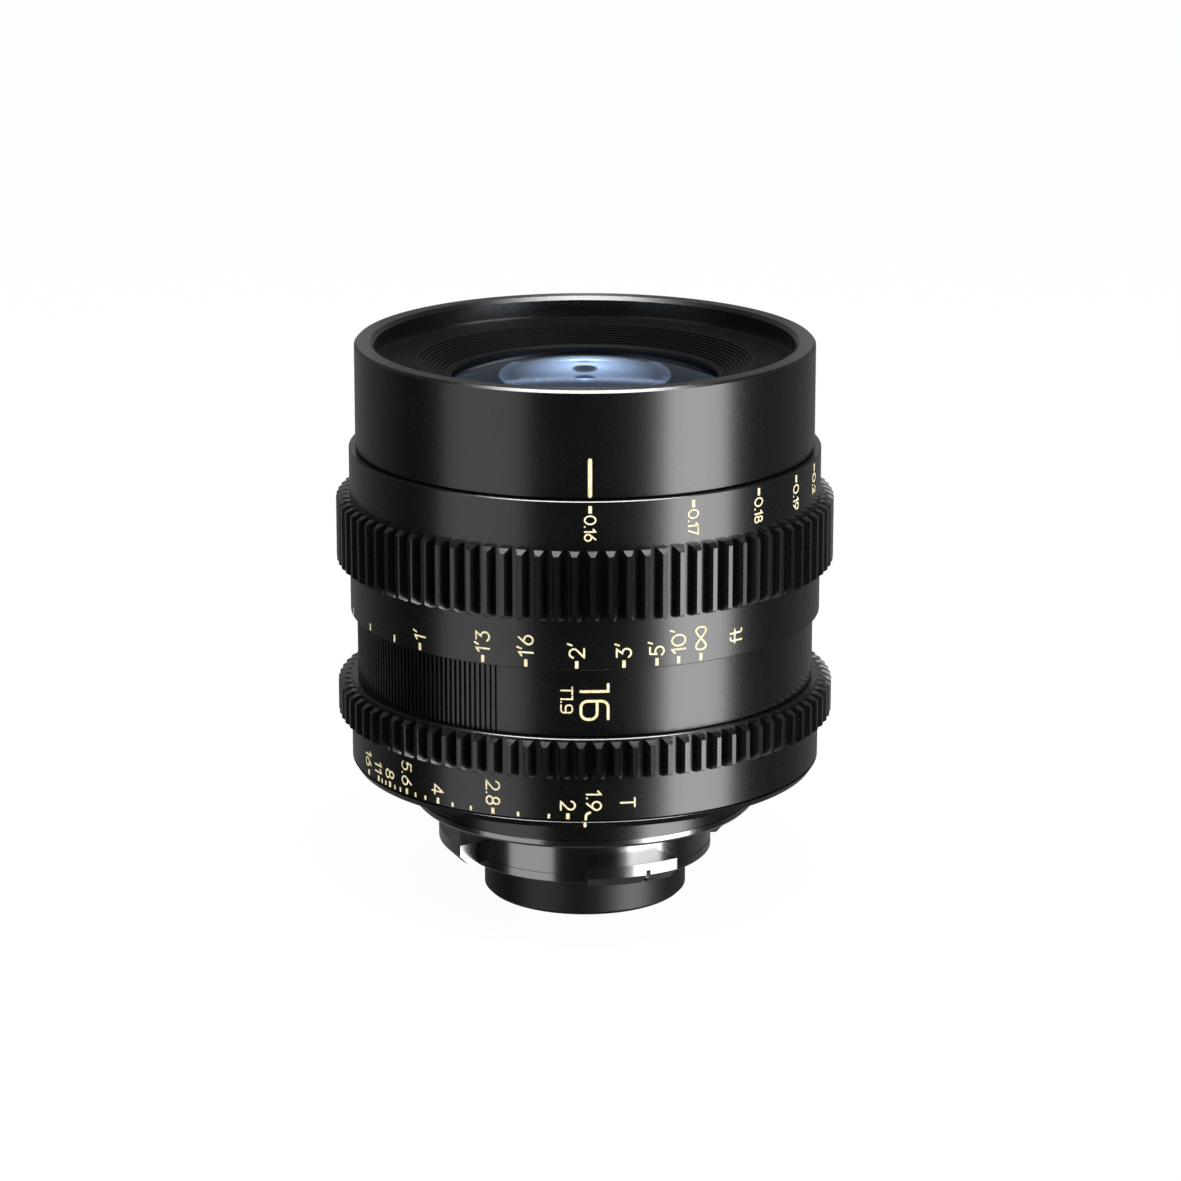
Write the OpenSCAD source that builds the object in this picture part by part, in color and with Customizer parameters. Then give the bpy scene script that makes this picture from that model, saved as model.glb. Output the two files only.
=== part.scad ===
// Cinema prime lens with geared focus and iris rings, a three-lug bayonet and a moving focus group.
// Origin: centre of the flange face that seats on the camera. +Z runs along the optical axis to the front.
// Angles are counted about +Z from +X, so the index line at the front of the lens is at -90 degrees.

/* [Outside] */
// Radius of the front barrel and of the ribbed sleeve
front_r = 33.5; // [31:0.1:37]
// How far the two rings stand proud of the front barrel
ring_step = 0.96; // [0.5:0.02:2]
// Wall of the two rings under the gear
ring_wall = 2.5; // [2:0.1:3.5]
// Height of the front barrel
front_h = 15.3; // [14:0.1:18]
// Height of the focus ring
focus_ring_h = 24.35; // [22:0.05:27]
// Height of the ribbed sleeve between the rings
sleeve_h = 9.7; // [8:0.1:12]
// Height of the iris ring
iris_ring_h = 12.05; // [11:0.05:14]
// Axial gap beside a turning ring
run_gap = 0.18; // [0.1:0.01:0.3]
// Small chamfer on the ring edges
edge_chamfer = 0.1; // [0.05:0.05:0.2]

/* [Gear teeth] */
// Module of the follow-focus teeth
gear_module = 0.8; // [0.6:0.1:1]
// Pressure angle of the teeth
pressure_angle = 20; // [14.5:0.5:25]
// Face width of the focus gear
focus_gear_h = 10.15; // [8:0.05:12]
// Height of the focus gear above the lower edge of its ring
focus_gear_lift = 7.3; // [6:0.1:9]
// Face width of the iris gear
iris_gear_h = 5.45; // [4.5:0.05:6]
// Distance from the iris gear up to the upper edge of its ring
iris_gear_drop = 0.25; // [0.2:0.05:0.6]
// Length of the chamfer at each end of a tooth
tooth_chamfer = 0.57; // [0.4:0.01:0.8]
// Depth of that chamfer at the tooth's tip
tooth_slope = 1.05; // [0.7:0.05:1.3]
// Clear depth under the teeth before the ring's own wall
root_step = 0.14; // [0.05:0.01:0.4]
// Angle from the index line to the nearest focus tooth
focus_tooth_angle = 1.7; // [0:0.1:4]
// Angle from the index line to the nearest iris tooth
iris_tooth_angle = 3.1; // [0:0.1:4]

/* [Grip ribs] */
// Angle at which the ribbed stretch of the sleeve starts
rib_from = 111.6; // [95:0.2:130]
// Angle that the ribbed stretch covers
rib_sweep = 136.8; // [100:0.2:160]
// Pitch of the ribs along the surface
rib_pitch = 0.82; // [0.6:0.02:1.2]
// Depth of the grooves between the ribs
rib_depth = 0.35; // [0.2:0.05:0.5]

/* [Filter recess] */
// Wall of the front barrel round the filter thread's minor radius
rim_wall = 2.9; // [2.5:0.05:3.5]
// Depth of the filter recess
filter_depth = 3; // [2.5:0.1:4]
// Step from the filter thread in to the baffle ring's seat
thread_step = 0.6; // [0.4:0.05:1]
// Lead-in chamfer at the rim
rim_chamfer = 0.55; // [0.3:0.05:0.8]
// Chamfer round the outside of the rim
rim_edge = 0.35; // [0.2:0.05:0.5]
// Width of the grooved cone inside the baffle ring's flat ledge
cone_w = 4.6; // [4:0.1:5.2]
// Depth of that cone
cone_h = 2.1; // [1.5:0.1:3]
// Pitch of the anti-glare grooves
groove_pitch = 0.46; // [0.4:0.02:0.8]
// Share of the groove pitch left as a flat land on the ledge
groove_land = 0.65; // [0.5:0.05:0.8]
// Depth of the anti-glare grooves
groove_depth = 0.16; // [0.1:0.02:0.25]
// Thickness of the baffle ring at its outer edge
baffle_t = 1.6; // [1.2:0.1:2]

/* [Mount] */
// Thickness of the flange plate
plate_t = 1.15; // [1:0.05:1.5]
// Chamfer round the flange plate
plate_chamfer = 0.45; // [0.2:0.05:0.6]
// Thickness of the flange-distance shim
shim_t = 0.2; // [0.1:0.05:0.4]
// Outside radius of the bayonet tube
bayonet_r = 18.75; // [18:0.05:19.5]
// Wall of the bayonet tube
bayonet_wall = 1.15; // [0.9:0.05:1.3]
// Length of the bayonet tube behind the flange
bayonet_len = 7.5; // [7.2:0.1:8]
// How far the lugs stand out from the bayonet tube
lug_reach = 3.05; // [2.4:0.05:3.4]
// Thickness of a lug along the axis
lug_t = 3.3; // [2.8:0.05:3.4]
// Chamfer at the far edge of a lug
lug_chamfer = 1.6; // [1:0.1:2]
// Distance from the flange face to the near face of the lugs
lug_drop = 4.1; // [3.8:0.05:4.4]
// Angle of the small notch in the first lug, from that lug's start
notch_angle = 24; // [15:1:30]
// Width of the notch
notch_w = 0.7; // [0.5:0.05:1]
// Depth of the turned line round the bayonet tube
line_depth = 0.15; // [0.1:0.05:0.25]
// Width of the turned line
line_w = 0.25; // [0.15:0.05:0.4]
// Distance from the turned line to the end of the bayonet tube
line_lift = 1.3; // [1:0.1:1.8]
// Start angles of the three lugs
lug_from = [-89, 12, 163];
// Angles that the three lugs cover
lug_sweep = [37, 48, 50];
// Depth of the relief round the tube, inside the seating face
seat_relief = 0.25; // [0.15:0.05:0.4]
// Radius of the locking-pin recess
lock_r = 1.1; // [0.8:0.1:1.2]
// Angle of the locking-pin recess
lock_angle = 100; // [90:5:110]
// Number of mount screws
mount_screw_count = 4; // [3:1:6]
// Angle of the first mount screw
mount_screw_from = 45; // [30:5:60]
// Shank radius of a mount screw
mount_screw_r = 0.85; // [0.7:0.05:1]
// Head radius of a mount screw
mount_head_r = 1.3; // [1.2:0.05:1.5]
// Metal of the seating face on each side of a mount screw's head
head_margin = 0.075; // [0.05:0.025:0.5]
// Length of a mount screw
mount_screw_len = 4.2; // [3.5:0.1:5]
// How deep a mount screw's head lies below the flange face
head_sink = 0.1; // [0.05:0.05:0.2]

/* [Rear] */
// Height of the rear housing
housing_h = 5.85; // [5:0.05:7]
// Height of the bevelled index edge of the rear housing
index_h = 1; // [0.8:0.1:1.5]
// How far the bevel runs in
index_bevel = 0.62; // [0.3:0.02:0.9]
// Height of the spigot inside the main barrel
spigot_h = 1.9; // [1.5:0.1:2.2]
// Wall of the spigot
spigot_wall = 3; // [2:0.1:4]
// Outside radius of the rear tube
rear_tube_r = 15; // [14.6:0.1:15.4]
// Reach of the rear tube behind the flange
rear_reach = 13.8; // [13:0.1:15]
// Chamfer at the rear tube's end
rear_chamfer = 0.5; // [0.2:0.1:0.8]

/* [Inner barrels] */
// Wall of the main barrel
barrel_wall = 3.1; // [2.6:0.1:3.4]
// Wall of the helicoid sleeve
helicoid_wall = 2.85; // [2.4:0.05:3.2]
// Step between the bores of the main barrel
bore_step = 0.8; // [0.6:0.1:1]
// Length of the main barrel's nose inside the front barrel
nose_len = 6; // [5:0.1:7]
// Depth of the front barrel's land behind the baffle ring
front_land = 1.6; // [1:0.1:2]
// Thickness of the front cell's flange
cell_flange_t = 3; // [2.5:0.1:3.5]
// Depth of the front cell's seat below the front barrel
cell_seat_drop = 3.9; // [3.5:0.1:4.5]
// Height of the shoulder that the iris unit seats on
iris_shoulder = 2; // [1.5:0.1:2.5]
// Thickness of the barrel's web that carries the guide rods
web_t = 3.4; // [3:0.1:4]
// Length of the focus carrier
carrier_len = 12.5; // [11.5:0.1:13.5]
// Skirt wall of the focus carrier
carrier_wall = 2.2; // [1.8:0.1:2.6]
// Thickness of the focus carrier's web
carrier_web_t = 5; // [4:0.1:6]
// Height of that web above the carrier's rear end
carrier_web_lift = 4; // [3.5:0.1:4.5]
// Radius of a guide rod
rod_r = 1; // [0.8:0.1:1.2]
// Distance from a guide rod's end to the carrier's front end
rod_short = 1.5; // [1:0.1:2]
// Metal round a guide rod in the web
rod_margin = 1.2; // [1:0.1:1.5]
// Number of guide rods
rod_count = 3; // [3:1:4]
// Width of the focus drive key
key_w = 5; // [4:0.1:6]
// Height of the focus drive key
key_h = 3.6; // [3:0.1:4]
// Height of the focus key above the helicoid sleeve's rear end
key_lift = 2.4; // [2:0.1:3]
// Angle of the focus key at the nearest focus stop
key_angle = 90; // [80:1:100]

/* [Focus travel] */
// Turn of the focus ring from the nearest stop to the far stop
focus_throw = 209; // [180:1:230]
// Travel of the focus carrier over that turn
focus_travel = 3.05; // [2.5:0.05:3.2]

/* [Iris] */
// Number of blades
blade_count = 9; // [7:1:10]
// Radius of the fully open iris
open_r = 8.5; // [8:0.1:9]
// Radius of the opening at the smallest stop
closed_r = 0.74; // [0.6:0.02:1.5]
// Width of a blade
blade_w = 4.5; // [4.3:0.1:4.8]
// Thickness of a blade
blade_t = 0.1; // [0.08:0.01:0.12]
// Height from one blade to the next
blade_pitch = 0.25; // [0.22:0.01:0.3]
// Angle by which a blade's arc runs back past its pivot
blade_heel = 5; // [3:1:8]
// Angle that a blade's arc covers
blade_sweep = 110; // [100:1:130]
// Radius of the blade pivots
pivot_r = 16.5; // [16:0.1:17.5]
// Radius of the blades' pins
blade_pin_r = 0.45; // [0.4:0.01:0.5]
// Length of a blade's lever
lever_len = 6.5; // [6:0.1:7]
// Width of a blade's lever
lever_w = 1.44; // [1.2:0.02:1.8]
// Turn of the iris ring
iris_throw = 75; // [70:1:80]
// Height of the iris unit above the spigot
iris_lift = 1.3; // [1:0.1:1.6]
// Thickness of the pivot plate
pivot_plate_t = 1.2; // [1:0.1:1.5]
// Thickness of the cam rotor
rotor_t = 2.4; // [2.2:0.1:2.8]
// Land outside the cam slots
rotor_land = 3.2; // [2.8:0.1:3.6]
// Lip between the pivot plate's seat and the rotor's seat
iris_lip = 0.7; // [0.5:0.1:0.9]
// Wall of the iris housing
iris_wall = 2; // [1.6:0.1:2.4]
// Thickness of the iris housing's disc
iris_disc_t = 2; // [1.6:0.1:2.4]
// Thickness of the rotor's retaining ring
rotor_ring_t = 1.2; // [1:0.1:1.5]
// Radius of the iris drive pin
iris_pin_r = 0.8; // [0.6:0.05:0.9]
// Angle of the iris drive pin at the widest stop
iris_pin_angle = 30; // [20:1:40]

/* [Glass] */
// Edge radius of the front element
front_glass_r = 20.2; // [19.8:0.1:20.6]
// Front curvature radius of the front element
front_glass_roc = 84; // [80:1:100]
// Rear curvature radius of the front element
front_glass_rear_roc = 100; // [90:5:130]
// Edge thickness of the front element
front_glass_edge = 4.15; // [4:0.05:4.5]
// Width of the front element's flat rear rim
front_glass_rim = 8; // [7.5:0.1:8.5]
// Height of the front retainer at its outer edge
front_retainer_h = 0.5; // [0.45:0.01:0.7]
// Width of the front retainer over the glass
front_lip = 0.8; // [0.7:0.05:1]
// How far the front retainer's inner face slopes out
retainer_slope = 0.4; // [0.2:0.05:0.5]
// Thickness of the baffle ring at its inner edge
baffle_nose_t = 0.58; // [0.4:0.02:0.7]
// Edge radius of the second and third elements
inner_glass_r = 14.8; // [14.4:0.1:15.2]
// Gap between the edges of the front and second elements
second_gap = 2; // [1.8:0.1:2.5]
// Edge thickness of the second element
second_edge = 3.2; // [3:0.1:4]
// Front and rear curvature radii of the second element
second_front_roc = 60; // [50:1:80]
second_rear_roc = 15.5; // [15.5:0.5:20]
// Gap between the edges of the second and third elements
third_gap = 1.7; // [1.5:0.1:2.5]
// Edge thickness of the third element
third_edge = 4.4; // [4.2:0.1:5]
// Front and rear curvature radii of the third element
third_front_roc = 48; // [46:1:60]
third_rear_roc = 34; // [33:1:45]
// Width of the flat rim round a concave face of the second and third elements
inner_glass_rim = 3.3; // [3.2:0.1:4]
// Edge radius of the focus elements
focus_glass_r = 14.5; // [14:0.1:14.8]
// Depth of the front focus element's edge below the carrier's front end
focus_seat_drop = 3.3; // [3.1:0.1:4]
// Edge thickness of the front focus element
focus_front_edge = 2; // [1.8:0.1:2.5]
// Front and rear curvature radii of the front focus element
focus_front_roc = 40; // [38:1:50]
focus_front_rear_roc = 55; // [50:1:70]
// Gap between the edges of the focus elements
focus_gap = 2.2; // [2:0.1:2.5]
// Edge thickness of the rear focus element
focus_rear_edge = 3.2; // [3:0.1:3.4]
// Front and rear curvature radii of the rear focus element
focus_rear_front_roc = 42; // [40:1:55]
focus_rear_roc = 60; // [55:1:75]
// Wall of the rear tube round the rear elements
rear_wall = 2.5; // [2.2:0.1:2.8]
// Depth of the rear group's first edge below the rear cell's front end
rear_seat_drop = 3.2; // [3:0.1:3.6]
// Edge thickness of the rear group's front element
rear_front_edge = 1.6; // [1.4:0.1:2]
// Curvature radius of both faces of the rear group's front element
rear_front_roc = 30; // [29:1:40]
// Gap between the edges of the rear group's front and middle elements
rear_middle_gap = 0.8; // [0.7:0.05:1]
// Edge thickness of the rear group's middle element
rear_middle_edge = 5.2; // [5:0.1:5.5]
// Front and rear curvature radii of the rear group's middle element
rear_middle_front_roc = 24; // [23:1:30]
rear_middle_rear_roc = 40; // [38:1:50]
// Gap between the edges of the rear group's middle and back elements
rear_back_gap = 1.4; // [1.3:0.05:1.6]
// Edge thickness of the rear group's back element
rear_back_edge = 2.3; // [2.2:0.1:2.6]
// Front and rear curvature radii of the rear group's back element
rear_back_front_roc = 35; // [33:1:45]
rear_back_roc = 50; // [46:1:60]
// Edge thickness of the rearmost element
last_edge = 3; // [2.8:0.1:3.2]
// Front and rear curvature radii of the rearmost element
last_front_roc = 60; // [50:1:75]
last_rear_roc = 60; // [50:1:75]
// Depth of the rear retainer inside the rear tube's end
rear_recess = 1.25; // [1:0.05:1.6]
// Width of the flat rim round a concave face of the rear elements
rear_glass_rim = 1.5; // [1.2:0.1:1.8]
// Width of the ring that a retainer, spacer or seat leaves round a glass
glass_lip = 1.4; // [1.2:0.1:1.5]
// Wall of the cells round the glass
cell_wall = 2.4; // [2:0.1:2.6]
// Height of the retaining rings
retainer_h = 1.2; // [1:0.1:1.3]

/* [Clearances] */
// Radial clearance of a running fit
run_clear = 0.04; // [0.03:0.01:0.06]
// Clearance between pieces that are fastened together
seat_clear = 0.03; // [0.02:0.01:0.05]
// Clearance beside a moving piece that isn't a fit
free_clear = 0.3; // [0.25:0.05:0.4]
// Clearance round a pin in a slot
slot_clear = 0.1; // [0.08:0.01:0.15]

/* [Hidden] */
$fn = 96;
over = 1;

BLADES = [for (k = [1:blade_count]) str("iris_blade_", k)];

// Levels of the outside pieces, from the flange face up
z_shim = plate_t;
z_housing = z_shim + shim_t;
z_housing_top = z_housing + housing_h;
z_iris = z_housing_top + run_gap;
z_iris_top = z_iris + iris_ring_h;
z_sleeve = z_iris_top + run_gap;
z_sleeve_top = z_sleeve + sleeve_h;
z_focus = z_sleeve_top + run_gap;
z_focus_top = z_focus + focus_ring_h;
z_front = z_focus_top + run_gap;
z_rim = z_front + front_h;

// Radii, from the rings inwards
ring_r = front_r + ring_step;
ring_bore = ring_r - ring_wall;
barrel_r = ring_bore - run_clear;
barrel_bore = barrel_r - barrel_wall;
wide_bore = barrel_bore + bore_step;
helicoid_r = barrel_bore - run_clear;
helicoid_bore = helicoid_r - helicoid_wall;
carrier_r = helicoid_bore - run_clear;
nose_r = barrel_r - bore_step;

// Gear teeth: the root circle stands just clear of the ring, and the tooth count follows from it
tooth_count = round((2 * (ring_r + root_step) + 2.5 * gear_module) / gear_module);
pitch_r = gear_module * tooth_count / 2;
root_r = pitch_r - 1.25 * gear_module;
tip_r = pitch_r + gear_module;
base_r = pitch_r * cos(pressure_angle);

// Mount radii, from the bayonet tube outwards
lug_r = bayonet_r + lug_reach;
seat_in_r = lug_r + free_clear;
plate_r = seat_in_r + 2 * (mount_head_r + head_margin) + plate_chamfer;

// Front group, from the rim down
filter_r = front_r - rim_wall;
z_ledge = z_rim - filter_depth;
z_retainer_top = z_ledge - cone_h;
cell_lip_r = front_glass_r + seat_clear + cell_wall;
z_front_edge = z_retainer_top - front_retainer_h;
z_front_edge_low = z_front_edge - front_glass_edge;
z_second_edge = z_front_edge_low - second_gap;
z_second_edge_low = z_second_edge - second_edge;
z_third_edge = z_second_edge_low - third_gap;
z_third_edge_low = z_third_edge - third_edge;
z_cell_end = z_third_edge_low - retainer_h - 2 * seat_clear;
z_cell_lip = z_retainer_top - baffle_nose_t - free_clear;
inner_cell_r = inner_glass_r + seat_clear + cell_wall;
z_cell_seat = z_front - cell_seat_drop;
baffle_in_r = front_glass_r + seat_clear;
baffle_seat_r = filter_r - thread_step;
baffle_out_r = baffle_seat_r - seat_clear;
ledge_r = baffle_in_r + cone_w;
front_land_r = baffle_seat_r - front_land;

// Focus group at the nearest stop, which is its foremost place
z_carrier_top = z_cell_end - free_clear;
z_carrier = z_carrier_top - carrier_len;
z_web_top = z_carrier - focus_travel - free_clear;
z_helicoid = z_web_top + run_gap;
z_helicoid_top = z_cell_seat - run_gap;
carrier_cell_r = focus_glass_r + seat_clear + cell_wall;
carrier_skirt_bore = carrier_r - carrier_wall;
rod_circle_r = (carrier_cell_r + carrier_skirt_bore) / 2;
z_carrier_web = z_carrier + carrier_web_lift;
z_focus_edge = z_carrier_top - focus_seat_drop;
z_focus_edge_low = z_focus_edge - focus_front_edge;
z_focus_rear_edge = z_focus_edge_low - focus_gap;
z_focus_rear_edge_low = z_focus_rear_edge - focus_rear_edge;
web_bore = rod_circle_r - rod_r - rod_margin;
z_key = z_helicoid + key_lift;
key_in_r = helicoid_bore + free_clear;
key_out_r = ring_bore + ring_wall / 2;
key_half_angle = asin((key_w / 2 + free_clear) / barrel_bore);

// Iris unit, from the rear housing up
z_pivot_plate = z_housing_top + spigot_h + iris_lift;
z_pivot_top = z_pivot_plate + pivot_plate_t;
z_blades = z_pivot_top + free_clear;
z_rotor = z_blades + (blade_count - 1) * blade_pitch + blade_t + free_clear;
z_rotor_top = z_rotor + rotor_t;
z_rotor_ring = z_rotor_top + run_gap;
z_iris_disc = z_rotor_ring;
z_iris_disc_top = z_iris_disc + iris_disc_t;
blade_turn = 2 * asin((open_r - closed_r) / (2 * pivot_r));
lever_from = -90 - blade_turn / 2;
slot_half = blade_pin_r + slot_clear;
rotor_r = norm(lever_pin(1)) + slot_half + rotor_land;
iris_bore = rotor_r + run_clear;
iris_hub_r = iris_bore + iris_wall;
z_iris_pin = z_rotor + rotor_t / 2;
iris_pin_in_r = rotor_r - rotor_land * 0.8;
iris_pin_out_r = ring_bore + ring_wall / 2;
slot_steps = 16;
pin_window_angle = asin((iris_pin_r + free_clear) / iris_bore);

// Rear group, from the pivot plate down
z_rear_cell_top = z_pivot_plate - free_clear;
rear_cell_r = bayonet_r - bayonet_wall - seat_clear;
z_rear_front_edge = z_rear_cell_top - rear_seat_drop;
z_rear_front_edge_low = z_rear_front_edge - rear_front_edge;
z_rear_middle_edge = z_rear_front_edge_low - rear_middle_gap;
z_rear_middle_edge_low = z_rear_middle_edge - rear_middle_edge;
z_rear_back_edge = z_rear_middle_edge_low - rear_back_gap;
z_rear_back_edge_low = z_rear_back_edge - rear_back_edge;
z_rear_tube_top = z_rear_back_edge_low - seat_clear;
z_rear_end = -rear_reach;
z_last_edge_low = z_rear_end + rear_recess + retainer_h;
z_last_edge = z_last_edge_low + last_edge;
rear_glass_r = rear_tube_r - rear_wall;
rear_bore = rear_glass_r + seat_clear;
rear_clear_r = rear_glass_r - rear_glass_rim;
z_rear_cell_end = -bayonet_len + free_clear;
z_lug_end = -lug_drop - lug_t;
z_line = -bayonet_len + line_lift;
mount_screw_circle_r = (seat_in_r + plate_r - plate_chamfer) / 2;
head_h = mount_head_r - mount_screw_r;

BLACK = [0.09, 0.09, 0.1];
SATIN = [0.16, 0.16, 0.17];
STEEL = [0.78, 0.78, 0.8];
BRASS = [0.8, 0.66, 0.35];
GLASS = [0.55, 0.65, 0.8, 0.5];

// A revolved solid from its half section
module turned(points) rotate_extrude() polygon(points);

// A straight ring between two levels
module tube(z_low, z_high, r_out, r_in)
    turned([[r_in, z_low], [r_out, z_low], [r_out, z_high], [r_in, z_high]]);

// A stretch of ring between two angles
module arc_block(z_low, z_high, r_in, r_out, from, sweep)
    rotate([0, 0, from]) rotate_extrude(angle = sweep)
        polygon([[r_in, z_low], [r_out, z_low], [r_out, z_high], [r_in, z_high]]);

// A lens element between two edge levels: a positive radius is a convex face, a negative one a concave face
module lens(r, z_low, z_high, front_roc, rear_roc, clear_r)
    difference() {
        intersection() {
            reach = 2 * r;
            translate([0, 0, z_low - reach]) cylinder(h = z_high - z_low + 2 * reach, r = r);
            if (front_roc > 0)
                translate([0, 0, z_high - sqrt(front_roc ^ 2 - r ^ 2)]) sphere(front_roc);
            else
                translate([0, 0, z_high - 4 * r]) cylinder(h = 4 * r, r = 2 * r);
            if (rear_roc > 0)
                translate([0, 0, z_low + sqrt(rear_roc ^ 2 - r ^ 2)]) sphere(rear_roc);
            else
                translate([0, 0, z_low]) cylinder(h = 4 * r, r = 2 * r);
        }
        if (front_roc < 0)
            translate([0, 0, z_high + sqrt(front_roc ^ 2 - clear_r ^ 2)]) sphere(-front_roc);
        if (rear_roc < 0)
            translate([0, 0, z_low - sqrt(rear_roc ^ 2 - clear_r ^ 2)]) sphere(-rear_roc);
    }

// How far a convex face bulges at radius r_in above its edge at radius r
function bulge(roc, r, r_in) = sqrt(roc ^ 2 - r_in ^ 2) - sqrt(roc ^ 2 - r ^ 2);

// A ring between two glasses: each end follows a convex face, or is flat where its radius is 0
module seat_ring(z_low, z_high, r, low_roc, high_roc)
    let (r_in = r - glass_lip)
    turned([[r, z_low + seat_clear], [r, z_high - seat_clear],
            [r_in, z_high - seat_clear - (high_roc > 0 ? bulge(high_roc, r, r_in) : 0)],
            [r_in, z_low + seat_clear + (low_roc > 0 ? bulge(low_roc, r, r_in) : 0)]]);

// Half the angle of an involute tooth at radius r
function involute(a) = tan(a) * 180 / PI - a;
function tooth_half(r) =
    90 / tooth_count + involute(pressure_angle) - involute(acos(min(1, base_r / r)));
function on_circle(r, a) = [r * cos(a), r * sin(a)];

// The outline of all teeth, three points to a flank
function gear_outline() =
    let (radii = [max(root_r, base_r), pitch_r, tip_r])
    [for (i = [0:tooth_count - 1])
        for (j = [0:5])
            let (side = j < 3 ? -1 : 1)
            let (r = radii[j < 3 ? j : 5 - j])
            on_circle(r, i * 360 / tooth_count - 90 + side * tooth_half(r))];

// A band of teeth with both ends chamfered
module gear_band(z_low, height, angle)
    intersection() {
        translate([0, 0, z_low]) rotate([0, 0, angle]) linear_extrude(height) polygon(gear_outline());
        turned([[ring_bore + ring_wall / 2, z_low],
                [tip_r - tooth_slope, z_low],
                [tip_r + seat_clear, z_low + tooth_chamfer],
                [tip_r + seat_clear, z_low + height - tooth_chamfer],
                [tip_r - tooth_slope, z_low + height],
                [ring_bore + ring_wall / 2, z_low + height]]);
    }

// A ring that turns on the main barrel
module bare_ring(z_low, z_high)
    turned([[ring_bore, z_low], [ring_r - edge_chamfer, z_low], [ring_r, z_low + edge_chamfer],
            [ring_r, z_high - edge_chamfer], [ring_r - edge_chamfer, z_high], [ring_bore, z_high]]);

// A pin lying along a radius
module radial_pin(r_in, r_out, z, angle, r)
    rotate([0, 0, angle]) translate([r_in, 0, z]) rotate([0, 90, 0]) cylinder(h = r_out - r_in, r = r);

module front_barrel() color(SATIN)
    turned([[nose_r + seat_clear, z_front], [front_r - edge_chamfer, z_front],
            [front_r, z_front + edge_chamfer], [front_r, z_rim - rim_edge],
            [front_r - rim_edge, z_rim], [filter_r + rim_chamfer, z_rim],
            [filter_r, z_rim - rim_chamfer], [filter_r, z_ledge], [baffle_seat_r, z_ledge],
            [baffle_seat_r, z_ledge - baffle_t - seat_clear],
            [front_land_r, z_ledge - baffle_t - seat_clear],
            [front_land_r, z_front + nose_len + seat_clear],
            [nose_r + seat_clear, z_front + nose_len + seat_clear]]);

// Square grooves along the flat ledge of the half section
function ledge_grooves(r_from, r_to) =
    let (count = floor((r_from - r_to) / groove_pitch), step = (r_to - r_from) / count)
    [for (i = [0:count - 1])
        for (corner = [[0, 0], [groove_land, 0], [groove_land, groove_depth], [1, groove_depth]])
            [r_from + step * (i + corner.x), z_ledge - corner.y]];

// Stairs down the cone of the half section
function cone_steps(r_from, r_to) =
    let (count = floor((r_from - r_to) / groove_pitch), step = (r_to - r_from) / count,
         drop = (z_retainer_top - z_ledge) / count)
    [for (i = [0:count - 1])
        for (along = [0, 1])
            [r_from + step * (i + along), z_ledge + drop * i]];

module baffle_ring() color(BLACK)
    turned(concat(
        [[baffle_out_r, z_ledge - baffle_t], [baffle_out_r, z_ledge]],
        ledge_grooves(baffle_out_r - groove_pitch, ledge_r),
        cone_steps(ledge_r, baffle_in_r + groove_pitch),
        [[baffle_in_r + groove_pitch, z_retainer_top],
         [baffle_in_r, z_retainer_top],
         [baffle_in_r, z_retainer_top - baffle_nose_t],
         [ledge_r, z_ledge - baffle_t]]));

// Height of the front glass at radius r
function front_glass_z(r) =
    z_front_edge - sqrt(front_glass_roc ^ 2 - front_glass_r ^ 2) + sqrt(front_glass_roc ^ 2 - r ^ 2);

module front_retainer() color(BLACK)
    turned([[front_glass_r - front_lip, front_glass_z(front_glass_r - front_lip) + 2 * seat_clear],
            [front_glass_r, front_glass_z(front_glass_r) + 2 * seat_clear],
            [front_glass_r, z_retainer_top],
            [front_glass_r - front_lip + retainer_slope, z_retainer_top]]);

module front_element() color(GLASS)
    lens(front_glass_r, z_front_edge_low, z_front_edge, front_glass_roc, -front_glass_rear_roc,
         front_glass_r - front_glass_rim);

module second_element() color(GLASS)
    lens(inner_glass_r, z_second_edge_low, z_second_edge, second_front_roc, -second_rear_roc,
         inner_glass_r - inner_glass_rim);

module third_element() color(GLASS)
    lens(inner_glass_r, z_third_edge_low, z_third_edge, -third_front_roc, -third_rear_roc,
         inner_glass_r - inner_glass_rim);

module front_cell() color(BLACK)
    turned([[front_glass_r + seat_clear, z_cell_lip], [cell_lip_r, z_cell_lip],
            [cell_lip_r, z_cell_seat + cell_flange_t],
            [wide_bore - seat_clear, z_cell_seat + cell_flange_t],
            [wide_bore - seat_clear, z_cell_seat],
            [inner_cell_r, z_cell_seat],
            [inner_cell_r, z_cell_end],
            [inner_glass_r + seat_clear, z_cell_end],
            [inner_glass_r + seat_clear, z_second_edge + seat_clear],
            [inner_glass_r - glass_lip, z_second_edge + glass_lip],
            [front_glass_r - front_glass_rim + glass_lip, z_front_edge_low - seat_clear],
            [front_glass_r + seat_clear, z_front_edge_low - seat_clear]]);

module front_spacer() color(BLACK)
    seat_ring(z_third_edge, z_second_edge_low, inner_glass_r, 0, 0);

module front_cell_retainer() color(BLACK)
    seat_ring(z_cell_end - seat_clear, z_third_edge_low, inner_glass_r, 0, 0);

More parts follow.
